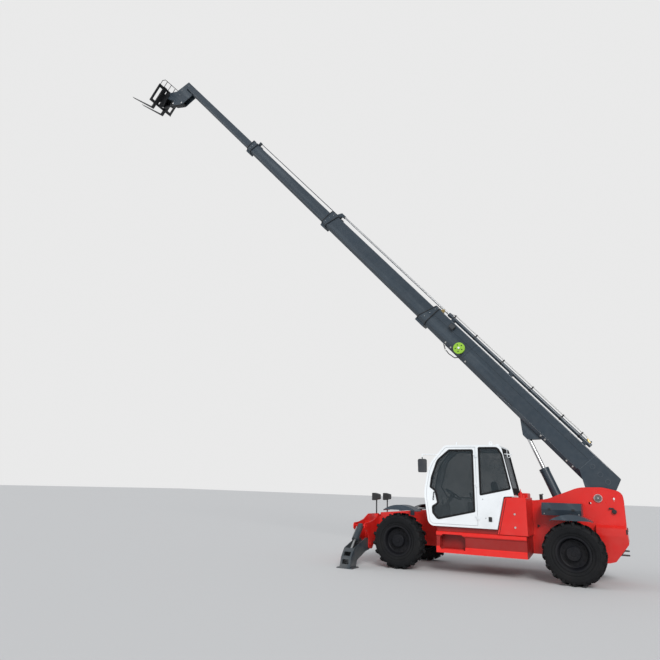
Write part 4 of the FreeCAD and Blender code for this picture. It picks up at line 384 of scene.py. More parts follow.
def silvered(name):
    """A mirror's glass: all reflection, with a breath of dust."""
    recipe = new_recipe(name)
    film = recipe.between(recipe.noise(8.0), 0.4, 0.8, 0.02, 0.10)
    return recipe.finish({"Base Color": (0.82, 0.84, 0.85), "Roughness": film, "Metallic": 1.0})


def grained_plastic(name, colour, roughness=0.55):
    """Moulded plastic with a fine leathery grain."""
    recipe = new_recipe(name)
    grain = recipe.noise(260.0)
    return recipe.finish({
        "Base Color": recipe.mottled(recipe.noise(3.0), colour, 1.35),
        "Roughness": recipe.gloss(grain, roughness, 0.9, 1.15),
        "Normal": recipe.bump(grain, 0.18, 0.001),
    })


def woven(name, colour):
    """Seat cloth: two sets of fine threads that cross, soft sheen, colour mottled by use."""
    recipe = new_recipe(name)
    threads = [recipe.noise(300.0, detail=2.0, stretch=s) for s in ((1.0, 1.0, 0.15), (0.15, 0.15, 1.0))]
    return recipe.finish({
        "Base Color": recipe.mottled(recipe.noise(5.0), colour, 1.7),
        "Roughness": 0.9,
        "Sheen Weight": 0.25,
        "Normal": recipe.bump(recipe.product(*threads), 0.3, 0.001),
    })


GLASS = tinted_glass("cab_glass_tint", (0.020, 0.030, 0.036), clear=0.48)
MIRROR = silvered("mirror_silver")
CLEAR_LENS = lens("clear_lens", (0.72, 0.75, 0.76))
RED_LENS = lens("red_lens", (0.42, 0.010, 0.008))
AMBER_LENS = lens("amber_lens", (0.62, 0.17, 0.012))
SMOKED_LENS = lens("smoked_lens", (0.05, 0.055, 0.06))
PLASTIC = grained_plastic("cab_plastic", (0.022, 0.023, 0.025))
LAMP_BODY = grained_plastic("lamp_plastic", (0.014, 0.014, 0.015), 0.42)
SEAT_CLOTH = woven("seat_cloth", (0.020, 0.021, 0.024))
print("finishes:", len(bpy.data.materials))

# %% [markdown]
# Every CAD piece takes its finish by name. A list from finish to pieces is easy to read and to
# change. The pieces' own meshes stay as they came: only their material slots are filled.

# %% Finish the CAD pieces
WHEELS = ("front_left", "front_right", "rear_left", "rear_right")
SIDE_NAMES = ("left", "right")


def with_each(prefix, endings):
    """A name for each ending."""
    return [prefix + "_" + ending for ending in endings]


FINISHES = [
    (RED, ["chassis_frame", "ballast", "tank_cover", "deck_fittings", "engine_bay", "engine_hood"]),
    (RED, ["stabiliser_bracket"]),
    (WHITE, ["cab_shell", "cab_door"]),
    (STEP_PAINT_AND_POCKET_SHADE, ["step_panel"]),
    (MIRROR_PAINT, ["mirror_arm"]),
    (ROOF_PAINT, ["roof_fittings"]),
    (REEL_GREEN, ["hose_reel"]),
    (SLATE, with_each("boom_section", "1234")),
    (SLATE, ["extension_barrel", "lift_barrel", "tool_box", "fenders"]),
    (LEG_SLATE, with_each("stabiliser_leg", SIDE_NAMES) + with_each("ram_barrel", SIDE_NAMES)),
    (BLACK_PAINT, ["carriage", "forks", "tilt_barrel", "tow_hitch", "tilt_rod"]),
    (RIM_BLACK, with_each("rim", WHEELS)),
    (IRON, ["axles", "drive_line"] + with_each("knuckle", WHEELS)),
    (ENGINE_IRON, ["engine_block", "exhaust"]),
    (PIN_STEEL, ["pivot_pins"]),
    (CHROME, ["lift_rod", "extension_rod"] + with_each("ram_rod", SIDE_NAMES)),
    (TYRE, with_each("tyre", WHEELS)),
    (GLASS, ["cab_glass", "door_glass"]),
    (PLASTIC, ["driver_seat", "steering_column"]),
    (LAMP_BODY, ["headlamps"]),
]
for material, names in FINISHES:
    for name in names:
        mesh = NODES[name].data
        if not mesh.materials:
            mesh.materials.append(material)
        for index in range(len(mesh.materials)):
            mesh.materials[index] = material
unfinished = set(NODES) - {name for material, names in FINISHES for name in names}
print("CAD pieces without a finish:", sorted(unfinished))

# %% [markdown]
# The fittings that follow are meshes worked out as whole arrays. Three ways cover nearly all of them:
# an outline turned about an axis, a small profile carried along a path, and a plain block.
# Spinning or curve objects would do the same by hand, but arrays keep every size a named number.

# %% Shapes from arrays
MERGE_WITHIN = 1e-5
SHARP_FROM = math.radians(35)
# How far the foot of a fitting is sunk into what carries it
SUNK = 0.001


def unit(vector):
    """The vector divided by its length."""
    vector = np.asarray(vector, float)
    return vector / np.linalg.norm(vector)


def grid_faces(rows, columns, wrap_rows=False):
    """Four-sided faces of rings of points counted ring by ring, the last joined to the first if asked."""
    row = np.arange(rows if wrap_rows else rows - 1)[:, None]
    column = np.arange(columns)[None, :]
    here, above = row * columns, (row + 1) % rows * columns
    beside = (column + 1) % columns
    faces = np.stack([here + column, here + beside, above + beside, above + column], axis=-1)
    return faces.reshape(-1, 4).tolist()


def closed_tube(rings):
    """A tube through rings of points, with a flat face at each end."""
    rings = np.asarray(rings, float)
    rows, columns = rings.shape[:2]
    first = list(range(columns))
    last = [(rows - 1) * columns + corner for corner in reversed(first)]
    return rings.reshape(-1, 3), grid_faces(rows, columns) + [first, last]


def side_axes(axis):
    """Two unit vectors square to an axis and to each other."""
    helper = np.array([0.0, 0.0, 1.0]) if abs(axis[2]) < 0.9 else np.array([1.0, 0.0, 0.0])
    first = unit(np.cross(helper, axis))
    return first, np.cross(axis, first)


def turned(profile, centre, axis, sides, ring=False):
    """A profile of (radius, height) about an axis: centre + height * axis + radius * (cos a, sin a)."""
    profile = np.asarray(profile, float)
    axis = unit(axis)
    first, second = side_axes(axis)
    angle = np.linspace(0, 2 * np.pi, sides, endpoint=False)[None, :, None]
    spokes = np.cos(angle) * first + np.sin(angle) * second
    radius, height = profile[:, 0, None, None], profile[:, 1, None, None]
    points = np.asarray(centre, float) + height * axis + radius * spokes
    return points.reshape(-1, 3), grid_faces(len(profile), sides, wrap_rows=ring)


def disc(centre, axis, radius, height, edge=0.0015, sides=28):
    """A short round bar standing on centre, with its top edge broken."""
    profile = [(0, 0), (radius, 0), (radius, height - edge), (radius - edge, height), (0, height)]
    return turned(profile, centre, axis, sides)


def washer(centre, axis, inner, outer, low, high, sides):
    """A flat ring between two radii and between two heights along its axis."""
    profile = [(inner, low), (outer, low), (outer, high), (inner, high)]
    return turned(profile, centre, axis, sides, ring=True)


def nut(place, axis, size, height, edge=0.002):
    """A six-sided nut or bolt head, whose size is half its width across the corners."""
    return disc(place, axis, size, height, edge, sides=6)


def bolt(place, axis, size):
    """A bolt's round washer and the head on it, both in proportion to the head's size."""
    axis = unit(axis)
    under_head = disc(place, axis, size * 1.25, size * 0.25, size * 0.05, sides=18)
    return [under_head, nut(np.asarray(place) + axis * size * 0.25, axis, size, size * 0.85, size * 0.12)]


def block(low, high):
    """A box between two corners."""
    low, high = np.asarray(low, float), np.asarray(high, float)
    choice = np.array([[i & 1, i >> 1 & 1, i >> 2 & 1] for i in range(8)])
    faces = [[0, 2, 3, 1], [4, 5, 7, 6], [0, 1, 5, 4], [2, 6, 7, 3], [0, 4, 6, 2], [1, 3, 7, 5]]
    return np.where(choice, high, low), faces


def boom_block(low, high):
    """A box whose corners are given in the boom's frame (s, y, n)."""
    points, faces = block(low, high)
    return on_boom(points), faces


def bent(stops, radius, closed=False, steps=6):
    """A path with each bend rounded by an arc, which starts radius / tan(half the bend) from the corner."""
    stops = np.asarray(stops, float)
    radii = np.broadcast_to(radius, len(stops))
    share = np.linspace(0, 1, steps + 1)[:, None]
    path = []
    for index, corner in enumerate(stops):
        if not closed and index in (0, len(stops) - 1) or radii[index] == 0:
            path.append(corner[None])
            continue
        back, ahead = unit(stops[index - 1] - corner), unit(stops[(index + 1) % len(stops)] - corner)
        half = math.acos(np.clip(back @ ahead, -1, 1)) / 2
        run = radii[index] / math.tan(half)
        centre = corner + unit(back + ahead) * radii[index] / math.sin(half)
        start, end = corner + back * run - centre, corner + ahead * run - centre
        sweep = math.pi - 2 * half
        swung = np.sin((1 - share) * sweep) * start + np.sin(share * sweep) * end
        path.append(centre + swung / math.sin(sweep))
    return np.concatenate(path)


def rounded(corners, steps=8):
    """A closed flat path through corners (a, b, rounding)."""
    corners = np.asarray(corners, float)
    return bent(corners[:, :2], corners[:, 2], closed=True, steps=steps)


def pipe(stops, radius, bend=0.0, sides=12):
    """A round bar along a bent path: each ring is square to it, on axes carried on from ring to ring."""
    path = bent(stops, bend)
    first, rings = side_axes(unit(path[1] - path[0]))[0], []
    angle = np.linspace(0, 2 * np.pi, sides, endpoint=False)[:, None]
    for place, direction in zip(path, np.gradient(path, axis=0)):
        direction = unit(direction)
        first = unit(first - direction * (first @ direction))
        rings.append(place + radius * (np.cos(angle) * first + np.sin(angle) * np.cross(direction, first)))
    ends = [np.repeat(path[[end]], sides, axis=0) for end in (0, -1)]
    return np.concatenate([ends[0], *rings, ends[1]]), grid_faces(len(path) + 2, sides)


def framed(path, profile, place):
    """A profile (out, up) carried round a closed flat path: path + out * its normal, lifted by up."""
    path, profile = np.asarray(path, float), np.asarray(profile, float)
    run = np.roll(path, -1, axis=0) - np.roll(path, 1, axis=0)
    normal = np.stack([run[:, 1], -run[:, 0]], axis=1)
    normal /= np.linalg.norm(normal, axis=1, keepdims=True)
    following = np.roll(path, -1, axis=0)
    normal *= np.sign(np.sum(path[:, 0] * following[:, 1] - path[:, 1] * following[:, 0]))
    flat = path[:, None] + normal[:, None] * profile[None, :, :1]
    lift = np.broadcast_to(profile[None, :, 1], flat.shape[:2])
    return place(flat.reshape(-1, 2), lift.ravel()), grid_faces(len(path), len(profile), wrap_rows=True)


def fitting(name, parts, material, body, bevel=0.0):
    """One piece from (points, faces) parts: doubles merged, faces turned outwards, edges bevelled."""
    points, faces, offset = [], [], 0
    for part_points, part_faces in parts:
        points.append(part_points)
        faces += [[offset + corner for corner in face] for face in part_faces]
        offset += len(part_points)
    mesh = bpy.data.meshes.new(name)
    mesh.from_pydata(np.concatenate(points).tolist(), [], faces)
    work = bmesh.new()
    work.from_mesh(mesh)
    bmesh.ops.remove_doubles(work, verts=work.verts, dist=MERGE_WITHIN)
    bmesh.ops.dissolve_degenerate(work, edges=work.edges, dist=MERGE_WITHIN / 10)
    bmesh.ops.recalc_face_normals(work, faces=work.faces)
    work.to_mesh(mesh)
    work.free()
    mesh.materials.append(material)
    mesh.shade_smooth()
    mesh.set_sharp_from_angle(angle=SHARP_FROM)
    piece = bpy.data.objects.new(name, mesh)
    bpy.context.scene.collection.objects.link(piece)
    if bevel:
        rounding = piece.modifiers.new("rounded edges", "BEVEL")
        rounding.width = bevel
        rounding.segments = 2
        rounding.limit_method = "ANGLE"
    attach(piece, body)
    return piece


print("shape helpers ready")

# %% [markdown]
# Each window sits in a thick black rubber seal that laps over both the glass and the painted edge.
# The seal is one profile carried round the window's outline. The outlines repeat the sizes of the CAD
# model, in metres, so that the rubber lands on the opening's edge all the way round.

# %% Window seals on the cab's flat sides
CAB_LEFT, CAB_RIGHT = 1.150, reach_in_y("cab_shell")[0]
# Columns of the windows' corners: x, height, rounding
DOOR_WINDOW = [
    (0.068, 1.306, 0.016), (0.068, 2.592, 0.020), (0.590, 2.592, 0.060), (0.860, 2.370, 0.260),
    (1.000, 2.000, 0.300), (1.035, 1.790, 0.020), (0.925, 1.712, 0.060), (0.868, 1.445, 0.050),
    (0.992, 1.368, 0.040), (0.985, 1.240, 0.060), (0.880, 1.118, 0.070),
]
QUARTER_WINDOW = [
    (-0.078, 1.655, 0.010), (-0.078, 2.640, 0.010), (-0.478, 2.640, 0.090), (-0.560, 2.500, 0.060),
    (-0.700, 1.795, 0.020),
]
RIGHT_WINDOW = [
    (0.900, 1.560, 0.060), (1.040, 1.800, 0.060), (0.880, 2.380, 0.300), (0.620, 2.600, 0.120),
    (-0.470, 2.600, 0.060), (-0.620, 1.760, 0.060), (-0.400, 1.560, 0.060),
]
# The rubber's section: out from the window's edge, and up from the panel's face
SEAL_SECTION = [
    (-0.018, -0.018), (-0.018, -0.002), (-0.010, 0.005), (0.012, 0.006),
    (0.021, 0.002), (0.021, -0.004), (0.002, -0.008), (-0.004, -0.018),
]


def on_side(face, outwards):
    """A placing rule for a flat side of the cab: (x, z) stays, and the lift goes out along Y."""
    return lambda flat, lift: np.stack([flat[:, 0], face + outwards * lift, flat[:, 1]], axis=1)


def seal(name, paths, body):
    """The seals of one body's windows, each a path and its placing rule."""
    rubber_parts = [framed(path, SEAL_SECTION, place) for path, place in paths]
    fitting(name, rubber_parts, SEAL, body)


left_side, right_side = on_side(CAB_LEFT, 1), on_side(CAB_RIGHT, -1)
seal("door_seal", [(rounded(DOOR_WINDOW), left_side)], "door")
seal("side_seals", [(rounded(QUARTER_WINDOW), left_side), (rounded(RIGHT_WINDOW), right_side)], "root")
print("side seals: 3, section of", len(SEAL_SECTION), "points")

# %% [markdown]
# The windscreen bends with the cab's front, so its seal lies on a curved face. The face is the cab's side
# outline drawn out along Y: a place on it is a pair (y, distance along the outline). The same carried
# profile works there, because the pair is a flat path and only the last step turns it to the curve.

# %% Seals of the windscreen and the rear window
# Columns of the cab's side outline: x, height, rounding
CAB_OUTLINE = [
    (-0.398, 0.965, 0.0), (1.095, 0.965, 0.150), (1.192, 1.660, 0.900), (1.066, 2.275, 0.700),
    (0.690, 2.705, 0.140), (-0.553, 2.705, 0.120), (-0.775, 1.642, 0.0), (-0.558, 1.628, 0.040),
]
REAR_FACE_FOOT = 1.64
GLASS_SIDE, WINDOW_ROUNDING = 0.070, 0.012
SCREEN_HEIGHTS, REAR_HEIGHTS = (1.330, 2.600), (2.520, 1.790)
SEAL_GAP, NORMAL_STEP = 0.03, 0.01


def run_along(path):
    """How far along a path each of its points lies."""
    return np.concatenate([[0], np.cumsum(np.linalg.norm(np.diff(path, axis=0), axis=1))])


def at_runs(runs, path):
    """The places that lie these distances along a path."""
    return np.stack([np.interp(runs, run_along(path), path[:, axis]) for axis in (0, 1)], axis=1)


def closed_up(path):
    """A closed path with its first point again at the end."""
    return np.vstack([path, path[:1]])


OUTLINE = closed_up(rounded(CAB_OUTLINE, steps=24))
OUTLINE_RUN = run_along(OUTLINE)


def on_outline(flat, lift):
    """(y, distance along the outline) as points: the outline there, plus lift along its outward normal."""
    along = flat[:, 1]
    x, z = at_runs(along, OUTLINE).T
    run_x, run_z = (at_runs(along + NORMAL_STEP, OUTLINE) - at_runs(along - NORMAL_STEP, OUTLINE)).T
    length = np.hypot(run_x, run_z)
    return np.stack([x + lift * run_z / length, flat[:, 0], z - lift * run_x / length], axis=1)


def distance_at(height, front):
    """Distance along the cab's outline where its front or rear face reaches a height."""
    top = OUTLINE_RUN[np.argmax(OUTLINE[:, 1])]
    before_top = (OUTLINE_RUN < top) & (OUTLINE[:, 0] > 0)
    after_top = (OUTLINE_RUN > top) & (OUTLINE[:, 1] > REAR_FACE_FOOT)
    face = before_top if front else after_top
    order = np.argsort(OUTLINE[face, 1])
    return float(np.interp(height, OUTLINE[face, 1][order], OUTLINE_RUN[face][order]))


def window_path(low, high):
    """A closed path (y, distance) round a window, with points close enough to bend with a curved face."""
    left, right = CAB_LEFT - GLASS_SIDE, CAB_RIGHT + GLASS_SIDE
    corners = [(left, low), (left, high), (right, high), (right, low)]
    path = closed_up(bent(corners, WINDOW_ROUNDING, closed=True, steps=8))
    run = run_along(path)
    return at_runs(np.unique(np.concatenate([run[:-1], np.arange(0, run[-1], SEAL_GAP)])), path)


SCREEN_LOW, SCREEN_HIGH = (distance_at(height, True) for height in SCREEN_HEIGHTS)
REAR_HIGH, REAR_LOW = (distance_at(height, False) for height in REAR_HEIGHTS)
end_windows = [window_path(SCREEN_LOW, SCREEN_HIGH), window_path(REAR_HIGH, REAR_LOW)]
seal("end_seals", [(path, on_outline) for path in end_windows], "root")
print("windscreen seal from", round(SCREEN_LOW, 3), "to", round(SCREEN_HIGH, 3), "m along the outline")

# %% [markdown]
# A driver opens the door by a black lever in a shallow recess at its front edge. A square latch holds
# the small window open, and a wiper parks at the foot of the windscreen. They are small, but the eye
# looks for them, because they give the cab its scale.

# %% Door lever, latch and wiper
LEVER_X = 0.966
# Columns of the lever's line: ahead of its middle, out from the door, height
LEVER_LINE = [
    (0.010, -0.016, 1.515), (0.008, 0.020, 1.519), (-0.012, 0.020, 1.671), (-0.014, -0.016, 1.675),
]
LEVER_LOCK = (LEVER_X + 0.004, CAB_LEFT - 0.021, 1.575)
LATCH_LOW, LATCH_HIGH, LATCH_STANDS = (-0.300, 1.112), (-0.232, 1.204), 0.014
PILLAR_BOLTS = [(-0.170, 1.175), (-0.120, 2.570), (-0.120, 1.560)]

lever = [
    pipe(np.array(LEVER_LINE) + (LEVER_X, CAB_LEFT, 0.0), radius=0.0085, bend=0.014),
    disc(LEVER_LOCK, LEFT, radius=0.011, height=0.006),
]
fitting("door_lever", lever, LAMP_BODY, "door", bevel=0.0015)

latch_out = CAB_LEFT + LATCH_STANDS
latch_x, latch_z = np.add(LATCH_LOW, LATCH_HIGH) / 2
latch = [
    block((LATCH_LOW[0], CAB_LEFT, LATCH_LOW[1]), (LATCH_HIGH[0], latch_out, LATCH_HIGH[1])),
    disc((latch_x, latch_out, latch_z), LEFT, radius=0.017, height=0.006),
]
for x, z in PILLAR_BOLTS:
    latch += bolt((x, CAB_LEFT, z), LEFT, size=0.007)
fitting("pillar_latch", latch, LAMP_BODY, "root", bevel=0.002)

WIPER_PIVOT = np.array([0.725, SCREEN_LOW - 0.045])
WIPER_TIP = np.array([0.600, SCREEN_LOW + 0.560])
ARM_SHARE, ARM_LIFT, HUB_LIFT = 0.75, 0.040, -0.002
BLADE_Y, BLADE_LOW, BLADE_HIGH, BLADE_LIFT = 0.620, SCREEN_LOW + 0.12, SCREEN_LOW + 0.74, 0.018


def on_screen(places, lift):
    """Places (y, distance) on the windscreen, lifted off it."""
    places = np.atleast_2d(places)
    return on_outline(places, np.full(len(places), lift))


arm = on_screen(np.linspace(WIPER_PIVOT, WIPER_PIVOT + ARM_SHARE * (WIPER_TIP - WIPER_PIVOT), 9), ARM_LIFT)
blade = on_screen(np.linspace((BLADE_Y, BLADE_LOW), (BLADE_Y, BLADE_HIGH), 13), BLADE_LIFT)
hub = on_screen(WIPER_PIVOT, HUB_LIFT)[0]
hub_axis = on_screen(WIPER_PIVOT, ARM_LIFT)[0] - hub
wiper = [pipe(arm, 0.006), pipe(blade, 0.007), disc(hub, hub_axis, radius=0.022, height=0.050)]
fitting("wiper", wiper, LAMP_BODY, "root", bevel=0.001)
print("wiper blade", round(float(np.linalg.norm(blade[-1] - blade[0])), 3), "m")

# %% [markdown]
# The mirror is a dark shell round a small flat glass that faces the driver. The glass is silvered, so it
# is a metal with no roughness rather than a see-through pane.

# %% Mirror glass
MIRROR_FACE_Y, MIRROR_ROUNDING = 1.125, 0.022
MIRROR_CORNERS = [(1.140, 2.122), (1.296, 2.122), (1.300, 2.380), (1.136, 2.380)]
MIRROR_EDGE = [(-0.006, -0.004), (-0.006, 0.004), (0.006, 0.005), (0.006, -0.004)]
MIRROR_GLASS_LIFTS = (0.0015, -0.0005)

mirror_path = bent(MIRROR_CORNERS, MIRROR_ROUNDING, closed=True)
mirror_side = on_side(MIRROR_FACE_Y, -1)
fitting("mirror_edge", [framed(mirror_path, MIRROR_EDGE, mirror_side)], LAMP_BODY, "root")
glass_faces = [mirror_side(mirror_path, np.full(len(mirror_path), lift)) for lift in MIRROR_GLASS_LIFTS]
fitting("mirror_glass", [closed_tube(glass_faces)], MIRROR, "root")
print("mirror glass of", len(mirror_path), "corners")

# %% [markdown]
# Work lamps have a clear ribbed lens over a bright bowl, and two small clusters on the tail hold the
# rear lamps. A lens reads as glass when it is glossy and pale, with fine upright ribs, and needs no
# light of its own.

# %% Lamps
LAMP_Y, LENS_LOW, LENS_HIGH, LENS_FACE = 0.350, 1.449, 1.591, 2.767
LENS_HALF_WIDTH, LENS_THICK, LENS_RIBS, RIB_SWELL, STEPS_PER_RIB = 0.080, 0.004, 9, 0.004, 6
TAIL_FACE, TAIL_Y, TAIL_Z = -2.810, 0.37, 1.020
TAIL_HALF = np.array([0.095, 0.045])
TAIL_DEPTH, TAIL_LENS_SHIFT = 0.028, 0.045


def ribbed_lens(y):
    """A lens plate facing forwards whose face swells over each rib: depth = thickness + swell * |sin|."""
    across = np.linspace(-LENS_HALF_WIDTH, LENS_HALF_WIDTH, LENS_RIBS * STEPS_PER_RIB + 1)
    phase = np.pi * LENS_RIBS * (across + LENS_HALF_WIDTH) / (2 * LENS_HALF_WIDTH)
    front = np.stack([LENS_FACE + LENS_THICK + RIB_SWELL * np.abs(np.sin(phase)), y + across], axis=1)
    back = np.stack([np.full_like(across, LENS_FACE), y + across], axis=1)[::-1]
    loop = np.concatenate([front, back])
    return closed_tube([np.column_stack([loop, np.full(len(loop), z)]) for z in (LENS_LOW, LENS_HIGH)])


tail_bodies, tail_lenses = [], []
for side in BOTH_SIDES:
    y = side * TAIL_Y
    low, high = (y, TAIL_Z) - TAIL_HALF, (y, TAIL_Z) + TAIL_HALF
    tail_bodies.append(block((TAIL_FACE, *low), (TAIL_FACE + TAIL_DEPTH, *high)))
    for shift in (-TAIL_LENS_SHIFT, TAIL_LENS_SHIFT):
        tail_lenses.append(disc((TAIL_FACE, y + shift, TAIL_Z), (-1, 0, 0), 0.034, 0.006, edge=0.002))
lamp_lenses = [ribbed_lens(side * LAMP_Y) for side in BOTH_SIDES]
fitting("lamp_lenses", lamp_lenses, CLEAR_LENS, "root")
fitting("tail_lamp_bodies", tail_bodies, LAMP_BODY, "root", bevel=0.003)
fitting("tail_lenses", tail_lenses, RED_LENS, "root")
print("lamps: 2 at the front,", len(tail_lenses), "round lenses at the rear")

# %% [markdown]
# A bonded rear pane has a black border printed on it, which hides the glue. It lies flat on the cab's
# back, so its section is only a few millimetres thick and reaches from the window out to the corner.

# %% Rear window's black border
BORDER_TOP, BORDER_FOOT = distance_at(2.640, False), distance_at(1.668, False)
BORDER_MARGIN, BORDER_STEPS = 0.012, 14
BORDER_OUT, BORDER_IN = 0.003, -0.004


def border_strip(right, left, start, end):
    """A thin strip on the cab's curved outline, between two places across it and two distances along it."""
    across = np.array([right, left, left, right])
    lift = np.array([BORDER_OUT, BORDER_OUT, BORDER_IN, BORDER_IN])
    places = [np.stack([across, np.full(4, run)], axis=1) for run in np.linspace(start, end, BORDER_STEPS)]
    return closed_tube([on_outline(place, lift) for place in places])


pane_right, pane_left = CAB_RIGHT + GLASS_SIDE, CAB_LEFT - GLASS_SIDE
rear_border = [
    border_strip(CAB_RIGHT + BORDER_MARGIN, pane_right, BORDER_TOP, BORDER_FOOT),
    border_strip(pane_left, CAB_LEFT - BORDER_MARGIN, BORDER_TOP, BORDER_FOOT),
    border_strip(pane_right, pane_left, BORDER_TOP, REAR_HIGH),
    border_strip(pane_right, pane_left, REAR_LOW, BORDER_FOOT),
]
fitting("rear_border", rear_border, SEAL, "root")
print("rear border:", len(rear_border), "strips")

# %% [markdown]
# The boom's collars carry the slide pads, and each has a thick rib round both of its slanted edges.
# One closed path round the tube's section, leaned by giving every height its own place along the boom,
# makes each rib. Bolt heads show where the pads are held.

# %% Ribs and bolts of the boom's collars
# Columns: half width, top, crease, bottom, half width of the bottom
TUBES = {
    1: (0.200, 0.615, 0.150, 0.045, 0.110),
    2: (0.168, 0.560, 0.165, 0.075, 0.090),
    3: (0.137, 0.485, 0.180, 0.104, 0.072),
}
# Columns: rear edge at the top and bottom, front edge at the top and bottom
COLLARS = {
    1: (5.660, 5.690, 5.800, 6.020),
    2: (10.220, 10.410, 10.550, 10.610),
    3: (15.030, 15.150, 15.330, 15.370),
}
COLLAR_WALL, RIB_INSET = 0.014, 0.012
RIB_SECTION = [(-0.003, -0.010), (0.012, -0.010), (0.012, 0.010), (-0.003, 0.010)]
ROD_DIP, DIP_FOOT, DIP_EDGE = 0.0115, 0.040, 0.060
TOP_ROUNDING, LOW_ROUNDING, DIP_ROUNDING = 0.030, 0.012, 0.004
PAD_BOLTS, PAD_BOLT_SIZE = (0.15, 0.5, 0.85), 0.009


def collar_path(number):
    """Closed path (y, n, rounding) round a collar, with a dip on top where a guide rod passes."""
    half, top, crease, bottom, foot = TUBES[number]
    half, top = half + COLLAR_WALL, top + COLLAR_WALL
    left = [
        (half, top, TOP_ROUNDING),
        (half, crease - COLLAR_WALL / 2, LOW_ROUNDING),
        (foot + COLLAR_WALL / 2, bottom - COLLAR_WALL, LOW_ROUNDING),
    ]
    right = [(-y, n, rounding) for y, n, rounding in reversed(left)]
    left_dip = [(DIP_FOOT, top - ROD_DIP, DIP_ROUNDING), (DIP_EDGE, top, DIP_ROUNDING)]
    right_dip = [(-y, n, rounding) for y, n, rounding in reversed(left_dip)]
    return rounded(left + right + right_dip + left_dip, steps=5)


def leaned(number, at_top, at_bottom):
    """A placing rule for a plane across the boom that leans from one s at the tube's bottom to another."""
    top, bottom = TUBES[number][1] + COLLAR_WALL, TUBES[number][3] - COLLAR_WALL

    def place(flat, lift):
        share = (flat[:, 1] - bottom) / (top - bottom)
        return on_boom(np.stack([at_bottom + share * (at_top - at_bottom) + lift, *flat.T], axis=1))

    return place


for number, (rear_top, rear_low, front_top, front_low) in COLLARS.items():
    half, top, crease = TUBES[number][:3]
    path = collar_path(number)
    ribs = [
        framed(path, RIB_SECTION, leaned(number, rear_top + RIB_INSET, rear_low + RIB_INSET)),
        framed(path, RIB_SECTION, leaned(number, front_top - RIB_INSET, front_low - RIB_INSET)),
    ]
    middle_low, middle_top = (rear_low + front_low) / 2, (rear_top + front_top) / 2
    bolts = []
    for share in PAD_BOLTS:
        s, n = middle_low + share * (middle_top - middle_low), crease + share * (top - crease)
        for side in BOTH_SIDES:
            bolts += bolt(boom_point(s, side * (half + COLLAR_WALL), n), side * LEFT, PAD_BOLT_SIZE)
    section = str(number)
    fitting("collar_ribs_" + section, ribs, BLACK_PAINT, "boom_" + section, bevel=0.002)
    fitting("collar_bolts_" + section, bolts, STEEL, "boom_" + section)
print("collars dressed:", len(COLLARS))

# %% [markdown]
# The base tube is welded from folded plate. Doubler plates with round ends stiffen its lower corners
# near the root, weld beads run along the folds, and round access covers sit over the root's cheeks.
# A bead is a thin bar half sunk in the plate, which catches the light much as a real one does. The
# doublers, the covers' rims, the ears' rings and a thin bar along each cheek's front edge take a paler
# slate, which is a painted highlight.

# %% Welds, doublers and covers of the base tube
TUBE_SIDE = TUBES[1][0]
FACET = np.array([TUBES[1][4] - TUBES[1][0], TUBES[1][3] - TUBES[1][2]])
# Columns: rear end, front end, low and high edge along the sloping face, thickness
DOUBLERS = [(0.700, 2.600, 0.006, 0.100, 0.014), (2.350, 3.075, 0.050, 0.104, 0.009)]
# Places (s, n) of the cheeks' round covers and of the beads' ends on the tube's side
CHEEK_COVERS = [(0.517, 0.394), (0.305, 0.388), (0.104, 0.385)]
BEADS = [
    [(0.690, 0.445), (4.280, 0.445)],
    [(4.280, 0.445), (5.640, 0.415)],
    [(4.290, 0.160), (4.270, 0.596)],
]
CHEEK_EDGE_HIGHLIGHT = [(0.645, 0.165), (0.638, 0.590)]
CHEEK_FACE, COVER_RIM = TUBE_SIDE + 0.012, (0.043, 0.056, -SUNK, 0.006)
STUDS_ON_PLATE, STUDS_ON_TUBE = (0.780, 0.951, 1.568, 1.691), (4.176, 4.712, 4.907)
STUD_ALONG, STUD_SIZE = 0.055, 0.020
EAR_S, EAR_N, EAR_FACE = 1.914, -0.120, 0.100
EAR_RING = [(0.031, -SUNK), (0.031, 0.010), (0.055, 0.010), (0.058, -SUNK)]


def on_facet(s, along, lift, side):
    """Places on the tube's lower sloping face: s, along runs down the face, and lift stands off it."""
    run = FACET / np.linalg.norm(FACET)
    y = TUBE_SIDE + run[0] * along - run[1] * lift
    n = TUBES[1][2] + run[1] * along + run[0] * lift
    return on_boom(np.stack(np.broadcast_arrays(s, side * y, n), axis=-1).reshape(-1, 3))


def doubler(rear, front, low, high, thick, side):
    """A flat bar on the sloping face, with a round front end."""
    half = (high - low) / 2
    turn = np.linspace(-np.pi / 2, np.pi / 2, 9)
    s = np.concatenate([[rear], front - half + half * np.cos(turn), [rear]])
    along = np.concatenate([[low], low + half + half * np.sin(turn), [high]])
    return closed_tube([on_facet(s, along, lift, side) for lift in (-SUNK, thick)])


def side_bar(ends, out, radius, side):
    """A thin bar between two places (s, n) on the tube's side, a little out from it."""
    return pipe(on_boom([(s, side * (TUBE_SIDE + out), n) for s, n in ends]), radius, sides=8)


